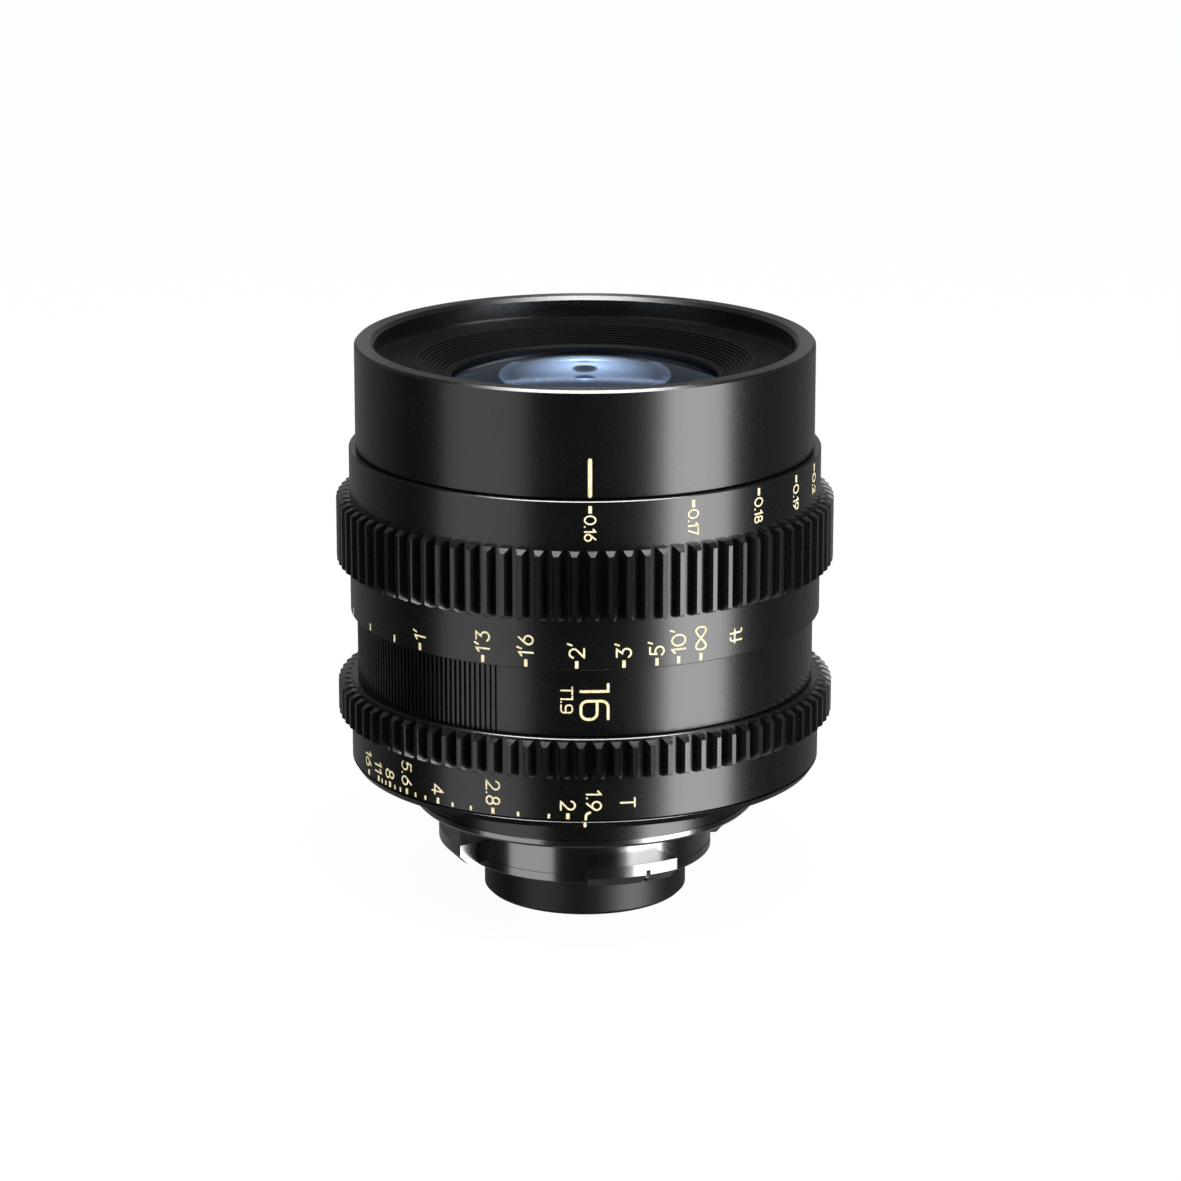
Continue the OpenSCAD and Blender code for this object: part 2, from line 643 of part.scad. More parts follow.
module main_barrel() color(SATIN)
    difference() {
        turned([[wide_bore, z_housing_top + seat_clear], [barrel_r, z_housing_top + seat_clear],
                [barrel_r, z_front - seat_clear], [nose_r, z_front - seat_clear],
                [nose_r, z_front + nose_len], [wide_bore, z_front + nose_len],
                [wide_bore, z_cell_seat - seat_clear], [barrel_bore, z_cell_seat - seat_clear],
                [barrel_bore, z_web_top], [web_bore, z_web_top], [web_bore, z_web_top - web_t],
                [wide_bore - iris_shoulder, z_web_top - web_t],
                [wide_bore - iris_shoulder, z_iris_disc_top + seat_clear],
                [wide_bore, z_iris_disc_top + seat_clear]]);
        arc_block(z_key - free_clear, z_key + key_h + free_clear, barrel_bore - over, barrel_r + over,
                  key_angle - focus_throw - key_half_angle, focus_throw + 2 * key_half_angle);
        arc_block(z_iris_pin - iris_pin_r - free_clear, z_iris_pin + iris_pin_r + free_clear,
                  wide_bore - over, barrel_r + over,
                  iris_pin_angle - pin_window_angle, iris_throw + 2 * pin_window_angle);
        for (i = [0:rod_count - 1])
            rotate([0, 0, i * 360 / rod_count])
                translate([rod_circle_r, 0, z_web_top - web_t - over])
                    cylinder(h = web_t + 2 * over, r = rod_r + seat_clear);
    }

module focus_ring() color(SATIN)
    difference() {
        union() {
            bare_ring(z_focus, z_focus_top);
            gear_band(z_focus + focus_gear_lift, focus_gear_h, focus_tooth_angle);
        }
        rotate([0, 0, key_angle])
            translate([0, -key_w / 2 - seat_clear, z_key - seat_clear])
                cube([key_out_r + seat_clear, key_w + 2 * seat_clear, key_h + 2 * seat_clear]);
    }

module focus_key() color(STEEL)
    rotate([0, 0, key_angle])
        translate([key_in_r, -key_w / 2, z_key])
            cube([key_out_r - key_in_r, key_w, key_h]);

module helicoid_sleeve() color(BRASS)
    difference() {
        tube(z_helicoid, z_helicoid_top, helicoid_r, helicoid_bore);
        rotate([0, 0, key_angle])
            translate([0, -key_w / 2 - seat_clear, z_helicoid - over])
                cube([helicoid_r + over, key_w + 2 * seat_clear, key_lift + key_h + seat_clear + over]);
    }

module focus_carrier() color(BLACK)
    difference() {
        turned([[focus_glass_r + seat_clear, z_carrier], [carrier_cell_r, z_carrier],
                [carrier_cell_r, z_carrier_web], [carrier_skirt_bore, z_carrier_web],
                [carrier_skirt_bore, z_carrier], [carrier_r, z_carrier], [carrier_r, z_carrier_top],
                [carrier_skirt_bore, z_carrier_top], [carrier_skirt_bore, z_carrier_web + carrier_web_t],
                [carrier_cell_r, z_carrier_web + carrier_web_t], [carrier_cell_r, z_carrier_top],
                [focus_glass_r - glass_lip, z_carrier_top],
                [focus_glass_r - glass_lip, z_focus_edge + glass_lip],
                [focus_glass_r + seat_clear, z_focus_edge + seat_clear]]);
        for (i = [0:rod_count - 1])
            rotate([0, 0, i * 360 / rod_count])
                translate([rod_circle_r, 0, z_carrier]) cylinder(h = carrier_len, r = rod_r + run_clear);
    }

module focus_element_front() color(GLASS)
    lens(focus_glass_r, z_focus_edge_low, z_focus_edge, focus_front_roc, focus_front_rear_roc,
         focus_glass_r);

module focus_element_rear() color(GLASS)
    lens(focus_glass_r, z_focus_rear_edge_low, z_focus_rear_edge, -focus_rear_front_roc, focus_rear_roc,
         focus_glass_r - glass_lip);

module focus_spacer() color(BLACK)
    seat_ring(z_focus_rear_edge, z_focus_edge_low, focus_glass_r, 0, focus_front_rear_roc);

module focus_retainer() color(BLACK)
    seat_ring(z_focus_rear_edge_low - retainer_h, z_focus_rear_edge_low, focus_glass_r, 0, focus_rear_roc);

module guide_rods() color(STEEL)
    for (i = [0:rod_count - 1])
        rotate([0, 0, i * 360 / rod_count])
            translate([rod_circle_r, 0, z_web_top - web_t])
                cylinder(h = z_carrier_top - rod_short - (z_web_top - web_t), r = rod_r);

// The ribbed stretch of the sleeve as one toothed sector, whose ends run on under the plain stretch
module rib_sector()
    let (count = floor(rib_sweep * PI / 180 * front_r / rib_pitch))
    let (step = rib_sweep / count)
    translate([0, 0, z_sleeve]) linear_extrude(sleeve_h) polygon(concat(
        [on_circle(front_r - rib_depth, rib_from - step)],
        [for (i = [0:count - 1])
            for (corner = [[0.05, 1], [0.15, 0], [0.55, 0], [0.65, 1]])
                on_circle(front_r - corner[1] * rib_depth, rib_from + (i + corner[0]) * step)],
        [on_circle(front_r - rib_depth, rib_from + rib_sweep + step)],
        [for (i = [count + 1:-1:-1]) on_circle(front_r - 3 * rib_depth, rib_from + i * step)]));

module ribbed_sleeve() color(SATIN)
    union() {
        tube(z_sleeve, z_sleeve_top, front_r - 2 * rib_depth, barrel_r + seat_clear);
        arc_block(z_sleeve, z_sleeve_top, front_r - 3 * rib_depth, front_r,
                  rib_from + rib_sweep, 360 - rib_sweep);
        rib_sector();
    }

module iris_ring() color(SATIN)
    difference() {
        union() {
            bare_ring(z_iris, z_iris_top);
            gear_band(z_iris_top - iris_gear_drop - iris_gear_h, iris_gear_h, iris_tooth_angle);
        }
        radial_pin(ring_bore - over, iris_pin_out_r + seat_clear, z_iris_pin, iris_pin_angle,
                   iris_pin_r + seat_clear);
    }

module iris_drive_pin() color(STEEL)
    radial_pin(iris_pin_in_r, iris_pin_out_r, z_iris_pin, iris_pin_angle, iris_pin_r);

module iris_housing() color(BLACK)
    difference() {
        turned([[iris_bore, z_pivot_plate], [iris_hub_r, z_pivot_plate], [iris_hub_r, z_iris_disc],
                [wide_bore - seat_clear, z_iris_disc], [wide_bore - seat_clear, z_iris_disc_top],
                [iris_bore, z_iris_disc_top], [iris_bore, z_rotor - run_gap],
                [iris_bore - iris_lip, z_rotor - run_gap], [iris_bore - iris_lip, z_pivot_top + seat_clear],
                [iris_bore, z_pivot_top + seat_clear]]);
        arc_block(z_iris_pin - iris_pin_r - free_clear, z_iris_disc - 2 * seat_clear,
                  iris_bore - over, iris_hub_r + over,
                  iris_pin_angle - pin_window_angle, iris_throw + 2 * pin_window_angle);
    }

module iris_pivot_plate() color(BRASS)
    difference() {
        tube(z_pivot_plate, z_pivot_top, iris_bore - seat_clear, open_r);
        for (k = [0:blade_count - 1])
            rotate([0, 0, k * 360 / blade_count])
                translate([pivot_r, 0, z_pivot_plate - over])
                    cylinder(h = pivot_plate_t + 2 * over, r = blade_pin_r + run_clear);
    }

// Where a lever pin stands on the rotor after a share s of the travel
function lever_pin(s) =
    let (p = [pivot_r, 0] + lever_len * [cos(lever_from + s * blade_turn), sin(lever_from + s * blade_turn)])
    on_circle(norm(p), atan2(p[1], p[0]) - s * iris_throw);
function cam_side(s, side) =
    let (ahead = lever_pin(s + 0.01) - lever_pin(s - 0.01))
    lever_pin(s) + side * slot_half * [-ahead[1], ahead[0]] / norm(ahead);

// One cam slot, which follows a lever pin over the whole travel
module cam_slot()
    translate([0, 0, z_rotor - over]) {
        linear_extrude(rotor_t + 2 * over) polygon(concat(
            [for (i = [0:slot_steps]) cam_side(i / slot_steps, 1)],
            [for (i = [slot_steps:-1:0]) cam_side(i / slot_steps, -1)]));
        for (s = [0, 1])
            translate(lever_pin(s)) cylinder(h = rotor_t + 2 * over, r = slot_half + 0.01);
    }

module iris_rotor() color(BRASS)
    difference() {
        tube(z_rotor, z_rotor_top, rotor_r, open_r);
        for (k = [0:blade_count - 1])
            rotate([0, 0, k * 360 / blade_count]) cam_slot();
        radial_pin(iris_pin_in_r - seat_clear, rotor_r + over, z_iris_pin, iris_pin_angle,
                   iris_pin_r + seat_clear);
    }

module rotor_ring() color(BLACK)
    tube(z_rotor_ring, z_rotor_ring + rotor_ring_t, iris_bore - seat_clear, open_r);

// One blade: an arc with a tab out to its pivot, a lever, and a pin through each
module iris_blade(k)
    let (z_blade = z_blades + k * blade_pitch)
    let (lever_end = [pivot_r, 0] + lever_len * [cos(lever_from), sin(lever_from)])
    let (tab_r = 2 * blade_pin_r)
    color(STEEL) rotate([0, 0, k * 360 / blade_count]) {
        arc_block(z_blade, z_blade + blade_t, open_r, open_r + blade_w, -blade_heel, blade_sweep);
        translate([open_r + blade_w / 2, -tab_r, z_blade])
            cube([pivot_r - open_r - blade_w / 2, 2 * tab_r, blade_t]);
        translate([pivot_r, 0, z_blade]) {
            cylinder(h = blade_t, r = tab_r);
            rotate([0, 0, lever_from]) translate([0, -lever_w / 2, 0])
                cube([lever_len, lever_w, blade_t]);
        }
        translate([pivot_r, 0, z_pivot_plate])
            cylinder(h = z_blade + blade_t - z_pivot_plate, r = blade_pin_r);
        translate([lever_end[0], lever_end[1], z_blade]) {
            cylinder(h = blade_t, r = tab_r);
            cylinder(h = z_rotor_top - free_clear - z_blade, r = blade_pin_r);
        }
    }

module housing_blank()
    turned([[rear_cell_r + seat_clear, z_housing], [plate_r, z_housing], [plate_r, z_housing_top - index_h],
            [ring_r - index_bevel, z_housing_top - index_h], [ring_r, z_housing_top - edge_chamfer / 2],
            [ring_r - edge_chamfer / 2, z_housing_top], [wide_bore - seat_clear, z_housing_top],
            [wide_bore - seat_clear, z_housing_top + spigot_h],
            [wide_bore - spigot_wall, z_housing_top + spigot_h], [wide_bore - spigot_wall, z_housing_top],
            [rear_cell_r + seat_clear, z_housing_top]]);

module each_mount_screw()
    for (i = [0:mount_screw_count - 1])
        rotate([0, 0, mount_screw_from + i * 360 / mount_screw_count])
            translate([mount_screw_circle_r, 0, 0]) children();

module mount_shim() color(BRASS)
    difference() {
        tube(z_shim + shim_t * 0.05, z_housing - shim_t * 0.05, plate_r - plate_chamfer,
             rear_cell_r + bayonet_wall);
        each_mount_screw() translate([0, 0, z_shim - over])
            cylinder(h = shim_t + 2 * over, r = mount_screw_r + slot_clear);
    }

module lug(i)
    rotate([0, 0, lug_from[i]]) rotate_extrude(angle = lug_sweep[i])
        polygon([[bayonet_r - bayonet_wall / 2, z_lug_end], [lug_r - lug_chamfer, z_lug_end],
                 [lug_r, z_lug_end + lug_chamfer], [lug_r, -lug_drop],
                 [bayonet_r - bayonet_wall / 2, -lug_drop]]);

module mount_plate() color(STEEL)
    difference() {
        union() {
            turned([[bayonet_r - bayonet_wall, -bayonet_len], [bayonet_r - line_depth, -bayonet_len],
                    [bayonet_r, -bayonet_len + line_depth], [bayonet_r, z_line],
                    [bayonet_r - line_depth, z_line], [bayonet_r - line_depth, z_line + line_w],
                    [bayonet_r, z_line + line_w], [bayonet_r, seat_relief], [seat_in_r, seat_relief],
                    [seat_in_r, 0], [plate_r - plate_chamfer, 0], [plate_r, plate_chamfer],
                    [plate_r, z_shim], [bayonet_r - bayonet_wall, z_shim]]);
            for (i = [0:2])
                lug(i);
        }
        rotate([0, 0, lug_from[0] + notch_angle])
            translate([bayonet_r + line_depth, -notch_w / 2, z_lug_end - over])
                cube([lug_r, notch_w, lug_t * 0.7 + over]);
        each_mount_screw() {
            translate([0, 0, -over]) cylinder(h = plate_t + 2 * over, r = mount_screw_r + slot_clear);
            translate([0, 0, -over]) cylinder(h = over + head_sink, r = mount_head_r + slot_clear);
            translate([0, 0, head_sink])
                cylinder(h = head_h, r1 = mount_head_r + slot_clear, r2 = mount_screw_r + slot_clear);
        }
        rotate([0, 0, lock_angle]) translate([mount_screw_circle_r, 0, -over])
            cylinder(h = over + plate_t * 0.7, r = lock_r);
    }

module rear_housing() color(SATIN)
    difference() {
        housing_blank();
        each_mount_screw() translate([0, 0, z_housing - over])
            cylinder(h = over + mount_screw_len - z_housing + free_clear, r = mount_screw_r + seat_clear);
    }

module mount_screws() color(STEEL)
    each_mount_screw() {
        translate([0, 0, head_sink]) cylinder(h = mount_screw_len - head_sink, r = mount_screw_r);
        translate([0, 0, head_sink]) cylinder(h = head_h, r1 = mount_head_r, r2 = mount_screw_r);
    }

module rear_cell() color(BLACK)
    turned([[rear_bore, z_rear_back_edge_low], [rear_tube_r + seat_clear, z_rear_back_edge_low],
            [rear_tube_r + seat_clear, z_rear_cell_end], [rear_cell_r, z_rear_cell_end],
            [rear_cell_r, z_rear_cell_top], [rear_glass_r - glass_lip, z_rear_cell_top],
            [rear_glass_r - glass_lip, z_rear_front_edge + glass_lip],
            [rear_bore, z_rear_front_edge + seat_clear]]);

module rear_group_front() color(GLASS)
    lens(rear_glass_r, z_rear_front_edge_low, z_rear_front_edge, rear_front_roc, rear_front_roc,
         rear_glass_r);

module rear_group_middle() color(GLASS)
    lens(rear_glass_r, z_rear_middle_edge_low, z_rear_middle_edge, -rear_middle_front_roc,
         -rear_middle_rear_roc, rear_glass_r - rear_glass_rim);

module rear_group_back() color(GLASS)
    lens(rear_glass_r, z_rear_back_edge_low, z_rear_back_edge, rear_back_front_roc, rear_back_roc,
         rear_glass_r);

module rear_spacer() color(BLACK)
    seat_ring(z_rear_back_edge, z_rear_middle_edge_low, rear_glass_r, rear_back_front_roc, 0);

module rear_tube() color(BLACK)
    turned([[rear_bore, z_rear_end], [rear_tube_r - rear_chamfer, z_rear_end],
            [rear_tube_r, z_rear_end + rear_chamfer], [rear_tube_r, z_rear_tube_top],
            [rear_glass_r, z_rear_tube_top],
            [rear_clear_r, z_rear_tube_top - bulge(rear_back_roc, rear_glass_r, rear_clear_r)],
            [rear_clear_r, z_last_edge + seat_clear], [rear_bore, z_last_edge + seat_clear]]);

module rear_element() color(GLASS)
    lens(rear_glass_r, z_last_edge_low, z_last_edge, -last_front_roc, last_rear_roc,
         rear_glass_r - rear_glass_rim);

module rear_retainer() color(BLACK)
    seat_ring(z_last_edge_low - retainer_h, z_last_edge_low, rear_glass_r, 0, last_rear_roc);

front_barrel();
baffle_ring();
front_retainer();
front_element();
second_element();
third_element();
front_cell();
front_spacer();
front_cell_retainer();
main_barrel();
focus_ring();
focus_key();
helicoid_sleeve();
focus_carrier();
focus_element_front();
focus_element_rear();
focus_spacer();
focus_retainer();
guide_rods();
ribbed_sleeve();
iris_ring();
iris_drive_pin();
iris_housing();
iris_pivot_plate();
iris_rotor();
rotor_ring();
for (k = [0:blade_count - 1])
    iris_blade(k);
rear_housing();
mount_shim();
mount_plate();
mount_screws();
rear_cell();
rear_group_front();
rear_group_middle();
rear_group_back();
rear_spacer();
rear_tube();
rear_element();
rear_retainer();
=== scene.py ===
"""Looks of a geared cinema prime lens: finishes, engraved scales, mount screws and a pale studio."""
import math

import bmesh
import bpy
import numpy as np
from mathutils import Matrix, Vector


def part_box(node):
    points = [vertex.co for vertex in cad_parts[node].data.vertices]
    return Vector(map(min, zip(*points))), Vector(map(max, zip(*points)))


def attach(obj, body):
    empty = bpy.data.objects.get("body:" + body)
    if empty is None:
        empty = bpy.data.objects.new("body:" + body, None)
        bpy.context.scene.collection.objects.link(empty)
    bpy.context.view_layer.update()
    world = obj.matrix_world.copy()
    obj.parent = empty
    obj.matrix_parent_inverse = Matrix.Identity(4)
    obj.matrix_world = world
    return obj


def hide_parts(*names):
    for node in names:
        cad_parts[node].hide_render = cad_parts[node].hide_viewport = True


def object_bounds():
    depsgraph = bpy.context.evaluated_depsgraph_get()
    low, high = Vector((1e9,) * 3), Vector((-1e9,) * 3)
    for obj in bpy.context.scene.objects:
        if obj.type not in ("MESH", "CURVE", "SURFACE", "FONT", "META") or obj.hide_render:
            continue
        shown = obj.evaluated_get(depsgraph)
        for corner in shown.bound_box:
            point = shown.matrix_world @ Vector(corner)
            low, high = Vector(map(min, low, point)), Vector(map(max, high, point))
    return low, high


bl_info = {
    "name": "Geared cinema lens",
    "version": (1, 0, 0),
    "blender": (4, 5, 0),
    "location": "View3D > Sidebar > Lens",
    "description": "Dresses a packed cinema lens with its finishes, engraved scales and a studio",
    "category": "Object",
}

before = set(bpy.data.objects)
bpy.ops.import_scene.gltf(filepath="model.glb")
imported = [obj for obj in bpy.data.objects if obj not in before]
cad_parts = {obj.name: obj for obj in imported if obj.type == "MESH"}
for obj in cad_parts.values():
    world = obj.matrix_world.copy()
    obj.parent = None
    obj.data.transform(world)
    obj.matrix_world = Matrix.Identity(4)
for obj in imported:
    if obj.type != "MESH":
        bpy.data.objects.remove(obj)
CAD_BOX = [list(corner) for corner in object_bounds()]

ANODISED = ("front_barrel", "focus_ring", "ribbed_sleeve", "iris_ring", "rear_housing", "main_barrel")
ANTI_GLARE = ("baffle_ring", "front_retainer", "front_cell", "front_spacer", "front_cell_retainer",
              "focus_carrier", "focus_spacer", "focus_retainer", "iris_housing", "rotor_ring",
              "iris_pivot_plate", "iris_rotor", "rear_cell", "rear_spacer", "rear_retainer")
GLASS = ("front_element", "second_element", "third_element", "focus_element_front", "focus_element_rear",
         "rear_group_front", "rear_group_middle", "rear_group_back", "rear_element")
PINS = ("focus_key", "guide_rods", "iris_drive_pin", "mount_shim")
BRASS = ("helicoid_sleeve",)
# Outer radii of the two turning rings and of the fixed barrel, and the circle of the mount screws
RING_R, BARREL_R, SCREW_CIRCLE_R = 0.03446, 0.0335, 0.023475
BLADES = tuple(sorted(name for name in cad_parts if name.startswith("iris_blade_")))


def linear(code):
    """Turns an sRGB hex colour into linear RGBA."""
    channels = [int(code[i:i + 2], 16) / 255 for i in (1, 3, 5)]
    return tuple(c / 12.92 if c <= 0.04045 else ((c + 0.055) / 1.055) ** 2.4 for c in channels) + (1.0,)


def mm(value):
    """Millimetres to metres."""
    return value / 1000


def add(tree, kind, links=(), **settings):
    """Adds a node with its settings; links pairs an input with a value or with another node's output."""
    node = tree.nodes.new(kind)
    for name, value in settings.items():
        setattr(node, name, value)
    for socket, source in links:
        if isinstance(source, bpy.types.NodeSocket):
            tree.links.new(source, node.inputs[socket])
        else:
            node.inputs[socket].default_value = source
    return node


class LensFinish(bpy.types.PropertyGroup):
    """Colours and surface sizes of the lens's finishes."""

    black: bpy.props.FloatVectorProperty(
        name="Anodised black", description="Colour of the dyed aluminium", subtype="COLOR", size=4,
        min=0, max=1, default=linear("#080808"))
    blast_grain: bpy.props.FloatProperty(
        name="Blast grain", description="Size of the bead-blasted grain", subtype="DISTANCE",
        default=mm(0.14), precision=5)
    paint_core: bpy.props.FloatVectorProperty(
        name="Paint core", description="Colour in the middle of a painted stroke", subtype="COLOR", size=4,
        min=0, max=1, default=linear("#F4EECF"))
    # The edge colour is painted shade: strokes turn darker and ochre at their edges, where the engraving's
    # walls would shade the paint.
    paint_edge_shade: bpy.props.FloatVectorProperty(
        name="Paint edge", description="Colour where the paint thins at a stroke's edge", subtype="COLOR",
        size=4, min=0, max=1, default=linear("#B9A15A"))
    steel: bpy.props.FloatVectorProperty(
        name="Mount steel", description="Colour of the turned stainless steel", subtype="COLOR", size=4,
        min=0, max=1, default=linear("#A8A8A7"))
    coat: bpy.props.FloatProperty(
        name="Glass coat", description="Thickness of the anti-reflection coat in nanometres",
        min=0, max=400, default=170)


class LensMarks(bpy.types.PropertyGroup):
    """Sizes of the engraved scales."""

    metre_cap: bpy.props.FloatProperty(
        name="Metre figures", description="Height of the metre figures", subtype="DISTANCE",
        default=mm(1.75), precision=5)
    feet_cap: bpy.props.FloatProperty(
        name="Feet figures", description="Height of the feet figures", subtype="DISTANCE",
        default=mm(2.35), precision=5)
    stop_cap: bpy.props.FloatProperty(
        name="Stop figures", description="Height of the figures on the iris ring", subtype="DISTANCE",
        default=mm(2.3), precision=5)
    stroke: bpy.props.FloatProperty(
        name="Stroke", description="Width of an engraved stroke as a share of the figure's height",
        min=0.05, max=0.3, default=0.13)
    lift: bpy.props.FloatProperty(
        name="Paint lift", description="How far the paint stands above the metal", subtype="DISTANCE",
        default=mm(0.02), precision=6)


class LensStage(bpy.types.PropertyGroup):
    """Floor, lamps and camera."""

    floor: bpy.props.FloatVectorProperty(
        name="Floor", description="Colour of the floor", subtype="COLOR", size=4, min=0, max=1,
        default=linear("#F4F4F4"))
    key_power: bpy.props.FloatProperty(
        name="Key lamp", description="Power of the tall lamp on the right", subtype="POWER", default=6.3)
    glow_power: bpy.props.FloatProperty(
        name="Key glow", description="Power of the weak lamp that softens the key lamp's inner edge",
        subtype="POWER", default=0.4)
    fill_power: bpy.props.FloatProperty(
        name="Fill lamp", description="Power of the tall lamp on the left", subtype="POWER", default=1.35)
    top_power: bpy.props.FloatProperty(
        name="Top lamp", description="Power of the lamp overhead", subtype="POWER", default=14.0)
    card: bpy.props.FloatProperty(
        name="Card", description="Brightness of the small glowing card that the front glass reflects",
        min=0, max=20, default=4.5)
    wall: bpy.props.FloatProperty(
        name="Back wall", description="Brightness of the studio's back wall", min=0, max=2, default=0.2)
    focal: bpy.props.FloatProperty(
        name="Focal length", description="Focal length of the camera in millimetres", default=131.55)


def new_material(name):
    """A node material with its tree and its shader."""
    material = bpy.data.materials.new(name)
    material.use_nodes = True
    return material, material.node_tree, material.node_tree.nodes["Principled BSDF"]


def black_anodised_aluminium(finish):
    """Bead-blasted aluminium, dyed black and sealed: satin, with a fine even grain in its highlights."""
    material, tree, shader = new_material("black_anodised_aluminium")
    place = add(tree, "ShaderNodeTexCoord").outputs["Object"]
    # Blasting leaves dents of about 0.05 mm; they are drawn coarser so that the grain shows.
    grain = add(tree, "ShaderNodeTexNoise",
                [("Vector", place), ("Scale", 1 / finish.blast_grain), ("Detail", 2.0), ("Roughness", 0.6)])
    dye = add(tree, "ShaderNodeTexNoise", [("Vector", place), ("Scale", 1 / mm(9)), ("Detail", 3.0)])
    shade = add(tree, "ShaderNodeMix",
                [("Factor", dye.outputs["Fac"]), ("A", linear("#040404")), ("B", finish.black)],
                data_type="RGBA")
    rough = add(tree, "ShaderNodeMapRange",
                [("Value", grain.outputs["Fac"]), ("From Min", 0.3), ("From Max", 0.7),
                 ("To Min", 0.22), ("To Max", 0.28)])
    bump = add(tree, "ShaderNodeBump",
               [("Height", grain.outputs["Fac"]), ("Strength", 0.2), ("Distance", mm(0.01))])
    tree.links.new(shade.outputs["Result"], shader.inputs["Base Color"])
    tree.links.new(rough.outputs["Result"], shader.inputs["Roughness"])
    tree.links.new(bump.outputs["Normal"], shader.inputs["Normal"])
    # The hard skin is aluminium oxide
    shader.inputs["IOR"].default_value = 1.77
    return material


def anti_glare_black(name, gloss, roughness):
    """Matt black paint over turned metal: deep, with a soft sheen at low angles."""
    material, tree, shader = new_material(name)
    place = add(tree, "ShaderNodeTexCoord").outputs["Object"]
    speckle = add(tree, "ShaderNodeTexNoise", [("Vector", place), ("Scale", 1 / mm(0.25)), ("Detail", 2.0)])
    shade = add(tree, "ShaderNodeMix",
                [("Factor", speckle.outputs["Fac"]), ("A", linear("#030303")), ("B", linear("#060606"))],
                data_type="RGBA")
    rough = add(tree, "ShaderNodeMapRange",
                [("Value", speckle.outputs["Fac"]), ("To Min", roughness - 0.06),
                 ("To Max", roughness + 0.06)])
    bump = add(tree, "ShaderNodeBump",
               [("Height", speckle.outputs["Fac"]), ("Strength", 0.15), ("Distance", mm(0.01))])
    tree.links.new(shade.outputs["Result"], shader.inputs["Base Color"])
    tree.links.new(rough.outputs["Result"], shader.inputs["Roughness"])
    tree.links.new(bump.outputs["Normal"], shader.inputs["Normal"])
    # A rough binder gives less gloss than a smooth paint's 0.5
    shader.inputs["Specular IOR Level"].default_value = gloss
    return material


def turned_steel(name, colour, marks, roughness):
    """Steel finished on a lathe: fine rings about the axis, which draw a highlight out along them."""
    material, tree, shader = new_material(name)
    place = add(tree, "ShaderNodeTexCoord").outputs["Object"]
    axes = add(tree, "ShaderNodeSeparateXYZ", [("Vector", place)])
    flat = add(tree, "ShaderNodeCombineXYZ", [("X", axes.outputs["X"]), ("Y", axes.outputs["Y"])])
    reach = add(tree, "ShaderNodeVectorMath", [(0, flat.outputs["Vector"])], operation="LENGTH")
    section = add(tree, "ShaderNodeCombineXYZ",
                  [("X", reach.outputs["Value"]), ("Y", axes.outputs["Z"])])
    rings = add(tree, "ShaderNodeTexNoise",
                [("Vector", section.outputs["Vector"]), ("Scale", 1 / marks), ("Detail", 3.0)],
                noise_dimensions="2D")
    rough = add(tree, "ShaderNodeMapRange",
                [("Value", rings.outputs["Fac"]), ("To Min", roughness - 0.03), ("To Max", roughness + 0.03)])
    shade = add(tree, "ShaderNodeMix",
                [("Factor", rings.outputs["Fac"]), ("A", [c * 0.88 for c in colour[:3]] + [1]),
                 ("B", colour)],
                data_type="RGBA")
    bump = add(tree, "ShaderNodeBump",
               [("Height", rings.outputs["Fac"]), ("Strength", 0.03), ("Distance", mm(0.01))])
    tree.links.new(shade.outputs["Result"], shader.inputs["Base Color"])
    tree.links.new(rough.outputs["Result"], shader.inputs["Roughness"])
    tree.links.new(bump.outputs["Normal"], shader.inputs["Normal"])
    shader.inputs["Metallic"].default_value = 1.0
    return material


def coated_glass(finish, name):
    """Polished optical glass under a thin anti-reflection coat: clear, with a faint blue reflection."""
    low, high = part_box(name)
    material, tree, shader = new_material("coated_optical_glass_" + name)
    place = add(tree, "ShaderNodeTexCoord").outputs["Object"]
    axes = add(tree, "ShaderNodeSeparateXYZ", [("Vector", place)])
    flat = add(tree, "ShaderNodeCombineXYZ", [("X", axes.outputs["X"]), ("Y", axes.outputs["Y"])])
    reach = add(tree, "ShaderNodeVectorMath", [(0, flat.outputs["Vector"])], operation="LENGTH")
    # The ground edge, and the front element's ground rear rim, are lacquered black against stray light
    edge = add(tree, "ShaderNodeMath", [(0, reach.outputs["Value"]), (1, high.x - mm(0.04))],
               operation="GREATER_THAN")
    if name == GLASS[0]:
        rim = add(tree, "ShaderNodeMath", [(0, axes.outputs["Z"]), (1, low.z + mm(0.04))],
                  operation="LESS_THAN")
        edge = add(tree, "ShaderNodeMath", [(0, edge.outputs[0]), (1, rim.outputs[0])], operation="MAXIMUM")
    polish = add(tree, "ShaderNodeTexNoise", [("Vector", place), ("Scale", 1 / mm(4)), ("Detail", 1.0)])
    smooth = add(tree, "ShaderNodeMapRange",
                 [("Value", polish.outputs["Fac"]), ("To Min", 0.0), ("To Max", 0.015)])
    rough = add(tree, "ShaderNodeMath", [(0, edge.outputs[0]), (1, 0.5), (2, smooth.outputs["Result"])],
                operation="MULTIPLY_ADD")
    shade = add(tree, "ShaderNodeMix",
                [("Factor", edge.outputs[0]), ("A", linear("#8298BD")), ("B", linear("#050506"))],
                data_type="RGBA")
    clear = add(tree, "ShaderNodeMath", [(0, 1.0), (1, edge.outputs[0])], operation="SUBTRACT")
    tree.links.new(rough.outputs[0], shader.inputs["Roughness"])
    tree.links.new(shade.outputs["Result"], shader.inputs["Base Color"])
    tree.links.new(clear.outputs[0], shader.inputs["Transmission Weight"])
    shader.inputs["IOR"].default_value = 1.62
    shader.inputs["Thin Film Thickness"].default_value = finish.coat
    shader.inputs["Thin Film IOR"].default_value = 1.38
    return material


